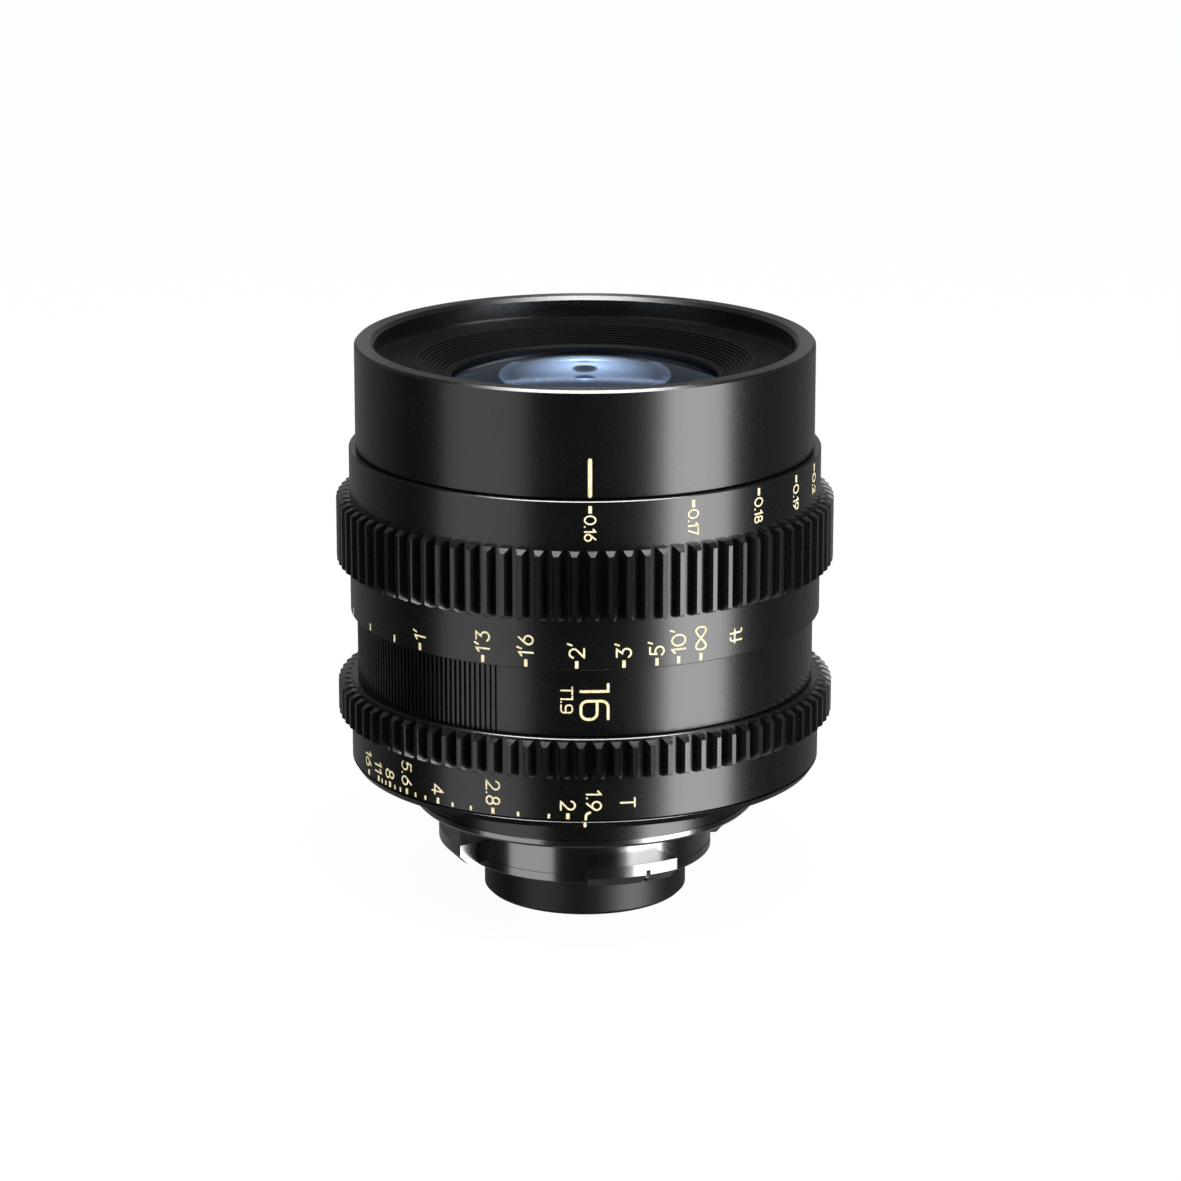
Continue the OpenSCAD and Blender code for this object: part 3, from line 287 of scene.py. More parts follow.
def paint_fill(finish):
    """Cream enamel wiped into an engraved stroke: pale in the middle, with painted shade that turns it darker
    and ochre at its edges.
    """
    made = bpy.data.materials.get("cream_enamel_fill")
    if made:
        return made
    material, tree, shader = new_material("cream_enamel_fill")
    across = add(tree, "ShaderNodeAttribute", attribute_name="core_to_edge_shade")
    place = add(tree, "ShaderNodeTexCoord").outputs["Object"]
    brush = add(tree, "ShaderNodeTexNoise", [("Vector", place), ("Scale", 1 / mm(0.4)), ("Detail", 2.0)])
    # Painted shade: across the stroke the colour goes from the core colour to the darker edge colour, with a
    # little noise.
    depth = add(tree, "ShaderNodeMath",
                [(0, across.outputs["Fac"]), (1, brush.outputs["Fac"]), (2, brush.outputs["Fac"])],
                operation="MULTIPLY_ADD")
    level = add(tree, "ShaderNodeMapRange",
                [("Value", depth.outputs["Value"]), ("From Min", 0.3), ("From Max", 1.1)])
    shade = add(tree, "ShaderNodeMix",
                [("Factor", level.outputs["Result"]), ("A", finish.paint_edge_shade), ("B", finish.paint_core)],
                data_type="RGBA")
    tree.links.new(shade.outputs["Result"], shader.inputs["Base Color"])
    shader.inputs["Roughness"].default_value = 0.5
    return material


def dress(names, material):
    """Gives CAD nodes a finish."""
    for name in names:
        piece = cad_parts[name]
        for place in piece.material_slots:
            place.material = material


def arc(x, y, rx, ry, start, end, steps=16):
    """Points along part of an ellipse, angles in degrees."""
    turn = np.radians(np.linspace(start, end, steps + 1))
    return [(x + rx * math.cos(a), y + ry * math.sin(a)) for a in turn]


def turned_over(strokes, width):
    """The same strokes turned by half a turn, as a 9 is a 6."""
    return [([(width - x, 1 - y) for x, y in points], closed) for points, closed in strokes]


RING = (0, 360)
SIX = [([(0.48, 0.935), (0.32, 0.74), (0.17, 0.55), (0.095, 0.43)], False),
       (arc(0.33, 0.335, 0.265, 0.27, *RING, 24)[:-1], True)]
SQUARE_SIX = [([(0.68, 0.945)] + arc(0.29, 0.725, 0.22, 0.22, 90, 180, 6)
               + arc(0.29, 0.275, 0.22, 0.22, 180, 270, 6) + arc(0.47, 0.275, 0.22, 0.22, 270, 360, 6)
               + arc(0.47, 0.365, 0.22, 0.22, 0, 90, 6) + [(0.07, 0.585)], False)]
# Each figure: its width, then its strokes on a cap height of 1, as an engraver's single line
FIGURES = {
    "0": (0.80, [(arc(0.40, 0.5, 0.335, 0.435, *RING, 28)[:-1], True)]),
    "1": (0.36, [([(0.07, 0.75), (0.28, 0.935), (0.28, 0.065)], False)]),
    "2": (0.68, [(arc(0.33, 0.665, 0.265, 0.27, 168, -38) + [(0.085, 0.065), (0.62, 0.065)], False)]),
    "3": (0.64, [([(0.09, 0.935), (0.56, 0.935), (0.29, 0.6)]
                  + arc(0.3, 0.335, 0.27, 0.27, 80, -155), False)]),
    "4": (0.74, [([(0.68, 0.27), (0.07, 0.27), (0.48, 0.935), (0.48, 0.065)], False)]),
    "5": (0.63, [([(0.54, 0.935), (0.16, 0.935)] + arc(0.295, 0.335, 0.27, 0.27, 135, -150), False)]),
    "6": (0.66, SIX),
    "7": (0.64, [([(0.06, 0.935), (0.58, 0.935), (0.24, 0.065)], False)]),
    "8": (0.64, [(arc(0.32, 0.715, 0.205, 0.22, *RING, 20)[:-1], True),
                 (arc(0.32, 0.285, 0.255, 0.22, *RING, 20)[:-1], True)]),
    "9": (0.66, turned_over(SIX, 0.66)),
    ".": (0.16, [([(0.07, 0.075), (0.10, 0.075)], False)]),
    "'": (0.20, [([(0.15, 1.03), (0.07, 0.8)], False)]),
    "T": (0.66, [([(0.06, 0.935), (0.6, 0.935)], False), ([(0.33, 0.935), (0.33, 0.065)], False)]),
    "f": (0.44, [(arc(0.35, 0.78, 0.15, 0.155, 70, 180, 8) + [(0.2, 0.065)], False),
                 ([(0.05, 0.6), (0.42, 0.6)], False)]),
    "t": (0.44, [([(0.2, 0.92)] + arc(0.35, 0.22, 0.15, 0.155, 180, 290, 8), False),
                 ([(0.05, 0.6), (0.42, 0.6)], False)]),
    "o": (1.56, [([(0.78 + 0.7 * math.sin(a), 0.5 + 0.34 * math.sin(2 * a))
                   for a in np.linspace(0, 2 * math.pi, 49)[:-1]], True)]),
    "square 1": (0.34, [([(0.05, 0.945), (0.28, 0.945), (0.28, 0.055)], False)]),
    "square 6": (0.76, SQUARE_SIX),
    "square 9": (0.76, turned_over(SQUARE_SIX, 0.76)),
    "square T": (0.66, [([(0.04, 0.945), (0.62, 0.945)], False), ([(0.33, 0.945), (0.33, 0.055)], False)]),
    "square .": (0.16, [([(0.07, 0.06), (0.1, 0.06)], False)]),
}


def resample(points, closed, step):
    """Points no further apart than step, so that a stroke can follow a round surface."""
    run = list(points) + ([points[0]] if closed else [])
    out = []
    for a, b in zip(run, run[1:]):
        count = max(1, math.ceil(math.dist(a, b) / step))
        out += [(a[0] + (b[0] - a[0]) * i / count, a[1] + (b[1] - a[1]) * i / count) for i in range(count)]
    return out if closed else out + [tuple(points[-1])]


def stroke_rows(points, closed, width):
    """The cross-sections of a stroke: a point, the direction to its left, and a half width."""
    p = np.array(points)
    ahead = np.roll(p, -1, 0) - p
    behind = p - np.roll(p, 1, 0)
    if not closed:
        ahead[-1], behind[0] = behind[-1], ahead[0]
    ahead /= np.linalg.norm(ahead, axis=1)[:, None]
    behind /= np.linalg.norm(behind, axis=1)[:, None]
    along = ahead + behind
    along /= np.linalg.norm(along, axis=1)[:, None]
    mitre = 1 / np.clip((along * ahead).sum(1), 0.6, 1)
    left = np.stack([-along[:, 1], along[:, 0]], 1) * mitre[:, None]
    rows = [(p[i], left[i], width / 2) for i in range(len(p))]
    if closed:
        return rows
    for end, out in ((0, -along[0]), (-1, along[-1])):
        cap = [(p[end] + out * width / 2 * math.sin(a), left[end], width / 2 * max(math.cos(a), 0.08))
               for a in (0.5, 1.0, 1.4, math.pi / 2)]
        rows = cap[::-1] + rows if end == 0 else rows + cap
    return rows


def text_strokes(text, cap, gap, style=""):
    """The strokes of a line of figures in metres, and its length."""
    strokes, reach = [], 0.0
    for sign in text:
        width, lines = FIGURES[style + sign]
        strokes += [([((x + reach) * cap, y * cap) for x, y in points], closed) for points, closed in lines]
        reach += width + gap
    return strokes, (reach - gap) * cap


def paint_mesh(name, parts, lift):
    """One mesh of painted strokes; each part is its strokes, a stroke width and a map to the surface."""
    verts, faces, depth = [], [], []
    below = mm(0.05)
    for strokes, width, surface in parts:
        for order, (points, closed) in enumerate(strokes):
            rows = stroke_rows(resample(points, closed, mm(0.3)), closed, width)
            first = len(verts)
            rise = lift + order * mm(0.003)
            # Each section point's last value is 1 on the crest and 0 at the sides; the paint's shader uses it
            # for painted shade at the stroke's edges.
            section = ((-1, -below, 0), (-1, rise * 0.6, 0), (0, rise, 1), (1, rise * 0.6, 0), (1, -below, 0))
            for point, left, half in rows:
                for side, height, core in section:
                    u, v = point + left * side * half
                    verts.append(surface(u, v, height))
                    depth.append(core)
            count, size = len(rows), len(section)
            for i in range(count if closed else count - 1):
                a, b = first + i * size, first + (i + 1) % count * size
                faces += [(a + k, a + (k + 1) % size, b + (k + 1) % size, b + k) for k in range(size)]
            if not closed:
                faces += [tuple(first + k for k in range(size)),
                          tuple(first + (count - 1) * size + k for k in reversed(range(size)))]
    mesh = bpy.data.meshes.new(name)
    mesh.from_pydata(verts, [], faces)
    shell = bmesh.new()
    shell.from_mesh(mesh)
    bmesh.ops.recalc_face_normals(shell, faces=shell.faces)
    shell.to_mesh(mesh)
    shell.free()
    mesh.attributes.new("core_to_edge_shade", "FLOAT", "POINT").data.foreach_set("value", depth)
    return mesh


def on_surface(radius, angle, level, down=True, middle=0.0):
    """Maps a line of figures to a ring: down reads towards the mount, otherwise towards the front."""
    turn = math.radians(angle)
    way = 1 if down else -1

    def place(u, v, height):
        z = level - way * u
        r = (radius(z) if callable(radius) else radius) + height
        a = turn + way * (v - middle) / r
        return r * math.sin(a), -r * math.cos(a), z
    return place


def add_piece(name, mesh, material, body):
    """Links a finished mesh to the scene and lets it move with a body."""
    mesh.materials.clear()
    mesh.materials.append(material)
    piece = bpy.data.objects.new(name, mesh)
    bpy.context.scene.collection.objects.link(piece)
    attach(piece, body)
    return piece


def figure_parts(rows, radius, cap, stroke, gap, level, down=True, from_end=False, style=""):
    """Parts for paint_mesh from rows of text and angle, all starting or ending at one level."""
    parts = []
    for text, angle in rows:
        strokes, length = text_strokes(text, cap, gap, style)
        start = level + length if from_end else level
        parts.append((strokes, cap * stroke, on_surface(radius, angle, start, down, cap / 2)))
    return parts


# Angles round the lens, in degrees from the index line: the scales as they stand at rest
METRES = (("0.16", 1.2), ("0.17", 26.0), ("0.18", 45.2), ("0.19", 60.7), ("0.2", 73.0), ("0.25", 102.0),
          ("0.3", 124.0), ("0.4", 150.0), ("0.6", 172.0), ("1", 189.0), ("3", 202.0))
FEET = (("2'", -1.9), ("3'", 9.1), ("5'", 17.0), ("10'", 22.4), ("1'6", -13.9), ("1'3", -24.6), ("1'", -42.7))
FAR_MARK = 28.2
FEET_SIGN = 38.2
PLAIN_FEET = (-52.0, -63.6, -78.0, -95.0, -116.0, -140.0)
STOPS = (("1.9", 2.1), ("2", -4.0), ("2.8", -22.2), ("4", -37.5), ("5.6", -47.9), ("8", -54.7), ("11", -60.2),
         ("16", -65.8))
STOP_SIGN = 10.1
STOP_TICKS = (-4.0, -22.2, -37.4, -47.8, -54.6, -60.0, -65.6)
HALF_STOPS = (-8.5, -15.9, -28.0, -33.1, -41.4, -44.7, -50.3, -52.5, -56.5, -58.3)
METRE_LEVEL, FEET_LEVEL, STOP_LEVEL = mm(51.9), mm(31.2), mm(8.85)
FRONT_INDEX, STOP_INDEX = 1.2, 0.0
# Levels along the axis of the ticks and of the single marks
METRE_TICK_LEVEL, FEET_TICK_LEVEL, STOP_TICK_LEVEL, HALF_STOP_LEVEL = mm(52.7), mm(30.33), mm(8.06), mm(7.98)
FEET_SIGN_LEVEL, STOP_SIGN_LEVEL, LEADER_LEVEL, FRONT_INDEX_LEVEL = mm(31.33), mm(10.7), mm(8.6), mm(59.45)
# The rating figures on the fixed sleeve: text, angle, height, stroke, gap between figures and level
RATINGS = (("16", 2.3, mm(4.3), 0.095, 0.2, mm(27.35)), ("T1.9", -4.4, mm(1.78), 0.13, 0.1, mm(26.85)))


class LENS_OT_metal(bpy.types.Operator):
    """Dress the anodised, painted, brass and steel pieces"""

    bl_idname = "lens.metal"
    bl_label = "Metal finishes"

    def execute(self, context):
        finish = context.scene.lens_finish
        dress(ANODISED, black_anodised_aluminium(finish))
        dress(ANTI_GLARE, anti_glare_black("anti_glare_black_paint", 0.2, 0.56))
        dress(("rear_tube",), anti_glare_black("satin_black_paint", 0.6, 0.42))
        dress(("mount_plate",), turned_steel("turned_stainless_steel", tuple(finish.steel), mm(0.15), 0.17))
        dress(PINS, turned_steel("ground_pin_steel", linear("#B8B8BA"), mm(0.1), 0.25))
        dress(BLADES, turned_steel("blackened_spring_steel", linear("#2A2A2C"), mm(0.2), 0.38))
        dress(BRASS, turned_steel("turned_brass", linear("#C9A55A"), mm(0.15), 0.28))
        return {"FINISHED"}


class LENS_OT_glass(bpy.types.Operator):
    """Dress the glass elements"""

    bl_idname = "lens.glass"
    bl_label = "Coated glass"

    def execute(self, context):
        for name in GLASS:
            dress((name,), coated_glass(context.scene.lens_finish, name))
        return {"FINISHED"}


class LENS_OT_focus_figures(bpy.types.Operator):
    """Engrave the metre and feet scales on the focus ring"""

    bl_idname = "lens.focus_figures"
    bl_label = "Focus figures"

    def execute(self, context):
        marks = context.scene.lens_marks
        paint = paint_fill(context.scene.lens_finish)
        metres = figure_parts(METRES, RING_R, marks.metre_cap, marks.stroke, 0.06, METRE_LEVEL)
        feet = figure_parts(FEET + (("o", FAR_MARK),), RING_R, marks.feet_cap, marks.stroke * 0.9, 0.08,
                            FEET_LEVEL, down=False)
        feet += figure_parts((("ft", FEET_SIGN),), RING_R, marks.feet_cap, marks.stroke * 0.9, 0.02,
                             FEET_SIGN_LEVEL, down=False)
        add_piece("metre_figures", paint_mesh("metre_figures", metres, marks.lift), paint, "focus")
        add_piece("feet_figures", paint_mesh("feet_figures", feet, marks.lift), paint, "focus")
        return {"FINISHED"}


class LENS_OT_stop_figures(bpy.types.Operator):
    """Engrave the stop scale on the iris ring"""

    bl_idname = "lens.stop_figures"
    bl_label = "Stop figures"

    def execute(self, context):
        marks = context.scene.lens_marks
        cap = marks.stop_cap
        parts = figure_parts(STOPS, RING_R, cap, marks.stroke * 0.9, 0.08, STOP_LEVEL, from_end=True)
        parts += figure_parts((("T", STOP_SIGN),), RING_R, cap, marks.stroke * 0.9, 0.08, STOP_SIGN_LEVEL)
        leader = [(0.0, mm(0.7)), (mm(0.12), mm(0.35)), (mm(0.4), mm(0.15)), (mm(0.95), mm(0.12))]
        parts.append(([(leader, False)], mm(0.36), on_surface(RING_R, STOP_INDEX, LEADER_LEVEL)))
        add_piece("stop_figures", paint_mesh("stop_figures", parts, marks.lift),
                  paint_fill(context.scene.lens_finish), "iris")
        return {"FINISHED"}


class LENS_OT_fixed_marks(bpy.types.Operator):
    """Engrave the index lines and the rating figures on the barrel"""

    bl_idname = "lens.fixed_marks"
    bl_label = "Fixed marks"

    def execute(self, context):
        marks = context.scene.lens_marks
        paint = paint_fill(context.scene.lens_finish)
        housing_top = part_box("iris_ring")[0].z
        line = [([(0.0, 0.0), (mm(5.0), 0.0)], False)]
        tick = [([(mm(0.25), 0.0), (mm(0.75), 0.0)], False)]
        bevel_top, bevel_height, bevel_depth = mm(7.15), mm(0.95), mm(0.62)

        def bevel(z):
            return RING_R - bevel_depth * min(max((bevel_top - z) / bevel_height, 0), 1)

        parts = [(line, mm(0.6), on_surface(BARREL_R, FRONT_INDEX, FRONT_INDEX_LEVEL)),
                 (tick, mm(0.42), on_surface(bevel, STOP_INDEX, housing_top - mm(0.18)))]
        for text, angle, cap, stroke, gap, level in RATINGS:
            parts += figure_parts(((text, angle),), BARREL_R, cap, stroke, gap, level, style="square ")
        add_piece("fixed_marks", paint_mesh("fixed_marks", parts, marks.lift), paint, "barrel")
        return {"FINISHED"}


def tick_tree():
    """Geometry nodes that set a small painted bar at each point of a ring, turned to face outwards."""
    tree = bpy.data.node_groups.new("scale_ticks", "GeometryNodeTree")
    tree.interface.new_socket("Points", in_out="INPUT", socket_type="NodeSocketGeometry")
    for name in ("Tick width", "Tick length", "Tick depth"):
        tree.interface.new_socket(name, in_out="INPUT", socket_type="NodeSocketFloat")
    tree.interface.new_socket("Paint", in_out="INPUT", socket_type="NodeSocketMaterial")
    tree.interface.new_socket("Ticks", in_out="OUTPUT", socket_type="NodeSocketGeometry")
    given = add(tree, "NodeGroupInput").outputs
    size = add(tree, "ShaderNodeCombineXYZ",
               [("X", given["Tick width"]), ("Y", given["Tick depth"]), ("Z", given["Tick length"])])
    bar = add(tree, "GeometryNodeMeshCube",
              [("Size", size.outputs["Vector"]), ("Vertices X", 3), ("Vertices Y", 2), ("Vertices Z", 3)])
    axes = add(tree, "ShaderNodeSeparateXYZ", [("Vector", add(tree, "GeometryNodeInputPosition").outputs[0])])
    # Each bar gets the same share, 1 down its middle and 0 at its sides, for the painted shade at its edges.
    half = add(tree, "ShaderNodeMath", [(0, given["Tick width"]), (1, 0.5)], operation="MULTIPLY")
    aside = add(tree, "ShaderNodeMath", [(0, axes.outputs["X"]), (1, half.outputs[0])], operation="DIVIDE")
    off = add(tree, "ShaderNodeMath", [(0, aside.outputs[0])], operation="ABSOLUTE")
    core = add(tree, "ShaderNodeMath", [(0, 1.0), (1, off.outputs[0])], operation="SUBTRACT")
    deep = add(tree, "GeometryNodeStoreNamedAttribute",
               [("Geometry", bar.outputs["Mesh"]), ("Name", "core_to_edge_shade"), ("Value", core.outputs[0])])
    back = add(tree, "ShaderNodeMath", [(0, axes.outputs["Y"]), (1, -1.0)], operation="MULTIPLY")
    turn = add(tree, "ShaderNodeMath", [(0, axes.outputs["X"]), (1, back.outputs[0])], operation="ARCTAN2")
    euler = add(tree, "ShaderNodeCombineXYZ", [("Z", turn.outputs[0])])
    facing = add(tree, "FunctionNodeEulerToRotation", [(0, euler.outputs["Vector"])])
    share = add(tree, "GeometryNodeInputNamedAttribute", [("Name", "tick_share")], data_type="FLOAT_VECTOR")
    bars = add(tree, "GeometryNodeInstanceOnPoints",
               [("Points", given["Points"]), ("Instance", deep.outputs["Geometry"]),
                ("Rotation", facing.outputs[0]), ("Scale", share.outputs["Attribute"])])
    real = add(tree, "GeometryNodeRealizeInstances", [(0, bars.outputs[0])])
    painted = add(tree, "GeometryNodeSetMaterial",
                  [("Geometry", real.outputs[0]), ("Material", given["Paint"])])
    add(tree, "NodeGroupOutput", [("Ticks", painted.outputs[0])])
    return tree


def grown_mesh(name, tree, mesh, inputs):
    """Runs a geometry nodes tree on a mesh and gives the result as a plain mesh."""
    seed = bpy.data.objects.new(name, mesh)
    bpy.context.scene.collection.objects.link(seed)
    nodes = seed.modifiers.new(name, "NODES")
    nodes.node_group = tree
    for socket in tree.interface.items_tree:
        if socket.in_out == "INPUT" and socket.name in inputs:
            nodes[socket.identifier] = inputs[socket.name]
    shown = seed.evaluated_get(bpy.context.evaluated_depsgraph_get())
    grown = bpy.data.meshes.new_from_object(shown)
    grown.name = name
    bpy.data.objects.remove(seed)
    return grown


class LENS_OT_ticks(bpy.types.Operator):
    """Set the painted ticks of the focus and stop scales"""

    bl_idname = "lens.ticks"
    bl_label = "Scale ticks"

    def execute(self, context):
        paint = paint_fill(context.scene.lens_finish)
        tree = tick_tree()
        focus = [(angle, METRE_TICK_LEVEL, 1.0, 1.0) for _, angle in METRES]
        focus += [(angle, FEET_TICK_LEVEL, 1.0, 1.0) for _, angle in FEET + (("", FAR_MARK),)]
        focus += [(angle, FEET_TICK_LEVEL, 0.75, 1.0) for angle in PLAIN_FEET]
        iris = [(angle, STOP_TICK_LEVEL, 1.0, 0.8) for angle in STOP_TICKS]
        iris += [(angle, HALF_STOP_LEVEL, 0.7, 0.62) for angle in HALF_STOPS]
        for name, body, rows in (("focus_ticks", "focus", focus), ("stop_ticks", "iris", iris)):
            points = bpy.data.meshes.new(name + "_places")
            points.from_pydata([(RING_R * math.sin(math.radians(a)), -RING_R * math.cos(math.radians(a)), z)
                                for a, z, _, _ in rows], [], [])
            share = points.attributes.new("tick_share", "FLOAT_VECTOR", "POINT")
            share.data.foreach_set("vector", [v for _, _, wide, tall in rows for v in (wide, 1.0, tall)])
            mesh = grown_mesh(name, tree, points, {"Tick width": mm(0.5), "Tick length": mm(1.06),
                                                   "Tick depth": mm(0.05), "Paint": paint})
            add_piece(name, mesh, paint, body)
        return {"FINISHED"}


def screw_tree():
    """Geometry nodes that set a countersunk cross-head screw at each point."""
    tree = bpy.data.node_groups.new("mount_screws", "GeometryNodeTree")
    tree.interface.new_socket("Points", in_out="INPUT", socket_type="NodeSocketGeometry")
    tree.interface.new_socket("Screw", in_out="INPUT", socket_type="NodeSocketObject")
    tree.interface.new_socket("Steel", in_out="INPUT", socket_type="NodeSocketMaterial")
    tree.interface.new_socket("Screws", in_out="OUTPUT", socket_type="NodeSocketGeometry")
    given = add(tree, "NodeGroupInput").outputs
    one = add(tree, "GeometryNodeObjectInfo", [("Object", given["Screw"])])
    around = add(tree, "GeometryNodeInputNamedAttribute", [("Name", "screw_turn")], data_type="FLOAT_VECTOR")
    facing = add(tree, "FunctionNodeEulerToRotation", [(0, around.outputs["Attribute"])])
    placed = add(tree, "GeometryNodeInstanceOnPoints",
                 [("Points", given["Points"]), ("Instance", one.outputs["Geometry"]),
                  ("Rotation", facing.outputs[0])])
    real = add(tree, "GeometryNodeRealizeInstances", [(0, placed.outputs[0])])
    finished = add(tree, "GeometryNodeSetMaterial",
                   [("Geometry", real.outputs[0]), ("Material", given["Steel"])])
    add(tree, "NodeGroupOutput", [("Screws", finished.outputs[0])])
    return tree


def screw_mesh(head, cone, shank, length):
    """A screw that hangs head down: a cross cut into a flat head, a countersunk cone and a threaded shank."""
    arm, slot, cut, crest = head * 0.62, head * 0.16, mm(0.35), mm(0.09)
    corners = [(arm, slot), (slot, slot), (slot, arm)]
    quarters = ((1, 0), (0, 1), (-1, 0), (0, -1))
    cross = [(x * c - y * s, x * s + y * c) for c, s in quarters for x, y in corners]
    count = 48
    turns = [2 * math.pi * i / count for i in range(count)]
    edge = [(head * math.cos(a), head * math.sin(a)) for a in turns]
    shell = bmesh.new()
    outer = [shell.verts.new((x, y, 0.0)) for x, y in edge]
    inner = [shell.verts.new((x, y, 0.0)) for x, y in cross]
    deep = [shell.verts.new((x * 0.8, y * 0.8, cut)) for x, y in cross]
    rim = [shell.edges.new((ring[i], ring[(i + 1) % len(ring)]))
           for ring in (outer, inner) for i in range(len(ring))]
    bmesh.ops.triangle_fill(shell, edges=rim, use_beauty=True)
    for i in range(len(inner)):
        shell.faces.new((inner[i - 1], inner[i], deep[i], deep[i - 1]))
    shell.faces.new(deep)
    rings = [outer]
    section = [(head, mm(0.06)), (shank, cone)]
    pitch = mm(0.4)
    for i in range(int((length - cone) / pitch)):
        section += [(shank, cone + pitch * (i + 0.5)), (shank - crest, cone + pitch * (i + 1))]
    for r, z in section:
        ring = [shell.verts.new((x / head * r, y / head * r, z)) for x, y in edge]
        for i in range(count):
            shell.faces.new((rings[-1][i - 1], rings[-1][i], ring[i], ring[i - 1]))
        rings.append(ring)
    shell.faces.new(rings[-1])
    bmesh.ops.recalc_face_normals(shell, faces=shell.faces)
    mesh = bpy.data.meshes.new("mount_screw")
    shell.to_mesh(mesh)
    shell.free()
    return mesh


class LENS_OT_screws(bpy.types.Operator):
    """Set the four screws that hold the mount"""

    bl_idname = "lens.screws"
    bl_label = "Mount screws"

    def execute(self, context):
        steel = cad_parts[PINS[0]].material_slots[0].material
        low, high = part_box("mount_screws")
        pattern = bpy.data.objects.new("screw_pattern",
                                       screw_mesh(mm(1.3), mm(0.45), mm(0.85), high.z - low.z - mm(0.02)))
        context.scene.collection.objects.link(pattern)
        points = bpy.data.meshes.new("screw_places")
        angles = [math.radians(45 + 90 * i) for i in range(4)]
        points.from_pydata([(SCREW_CIRCLE_R * math.cos(a), SCREW_CIRCLE_R * math.sin(a), low.z)
                            for a in angles], [], [])
        turn = points.attributes.new("screw_turn", "FLOAT_VECTOR", "POINT")
        # Screws stop at no particular angle
        turn.data.foreach_set("vector", [v for rest in (0.3, 1.1, 0.7, 0.05) for v in (0.0, 0.0, rest)])
        mesh = grown_mesh("cross_screws", screw_tree(), points, {"Screw": pattern, "Steel": steel})
        bpy.data.objects.remove(pattern)
        piece = add_piece("cross_screws", mesh, steel, "barrel")
        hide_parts("mount_screws")
        return {"FINISHED"}


# The studio, in metres. The side lamps are tall, so that they show as long streaks on the rings.
FLOOR_HALF = 4.0
SIDE_AIM = (0.0, 0.0, -0.05)
SIDE_TALL = 1.3
CARD_MIDDLE = Vector((0.0, 0.19, 0.1065))
CARD_HALF = (0.04, 0.03)
CARD_SPOT = (0.014, 1.0, 0.0065)
# The card's glow outside its bright spot, as a share of the spot's
CARD_BASE = 0.04
# Direction vectors: where the backdrop's top edge starts and ends, and where metal starts to show it
BACKDROP_EDGE = (0.232, 0.25)
BACKDROP_BEHIND = 0.97
CAMERA_PLACE = (0.0, -0.61222, 0.20251)
CAMERA_TILT = math.radians(75.269)
CAMERA_SHIFT = (0.0047, -0.0559)


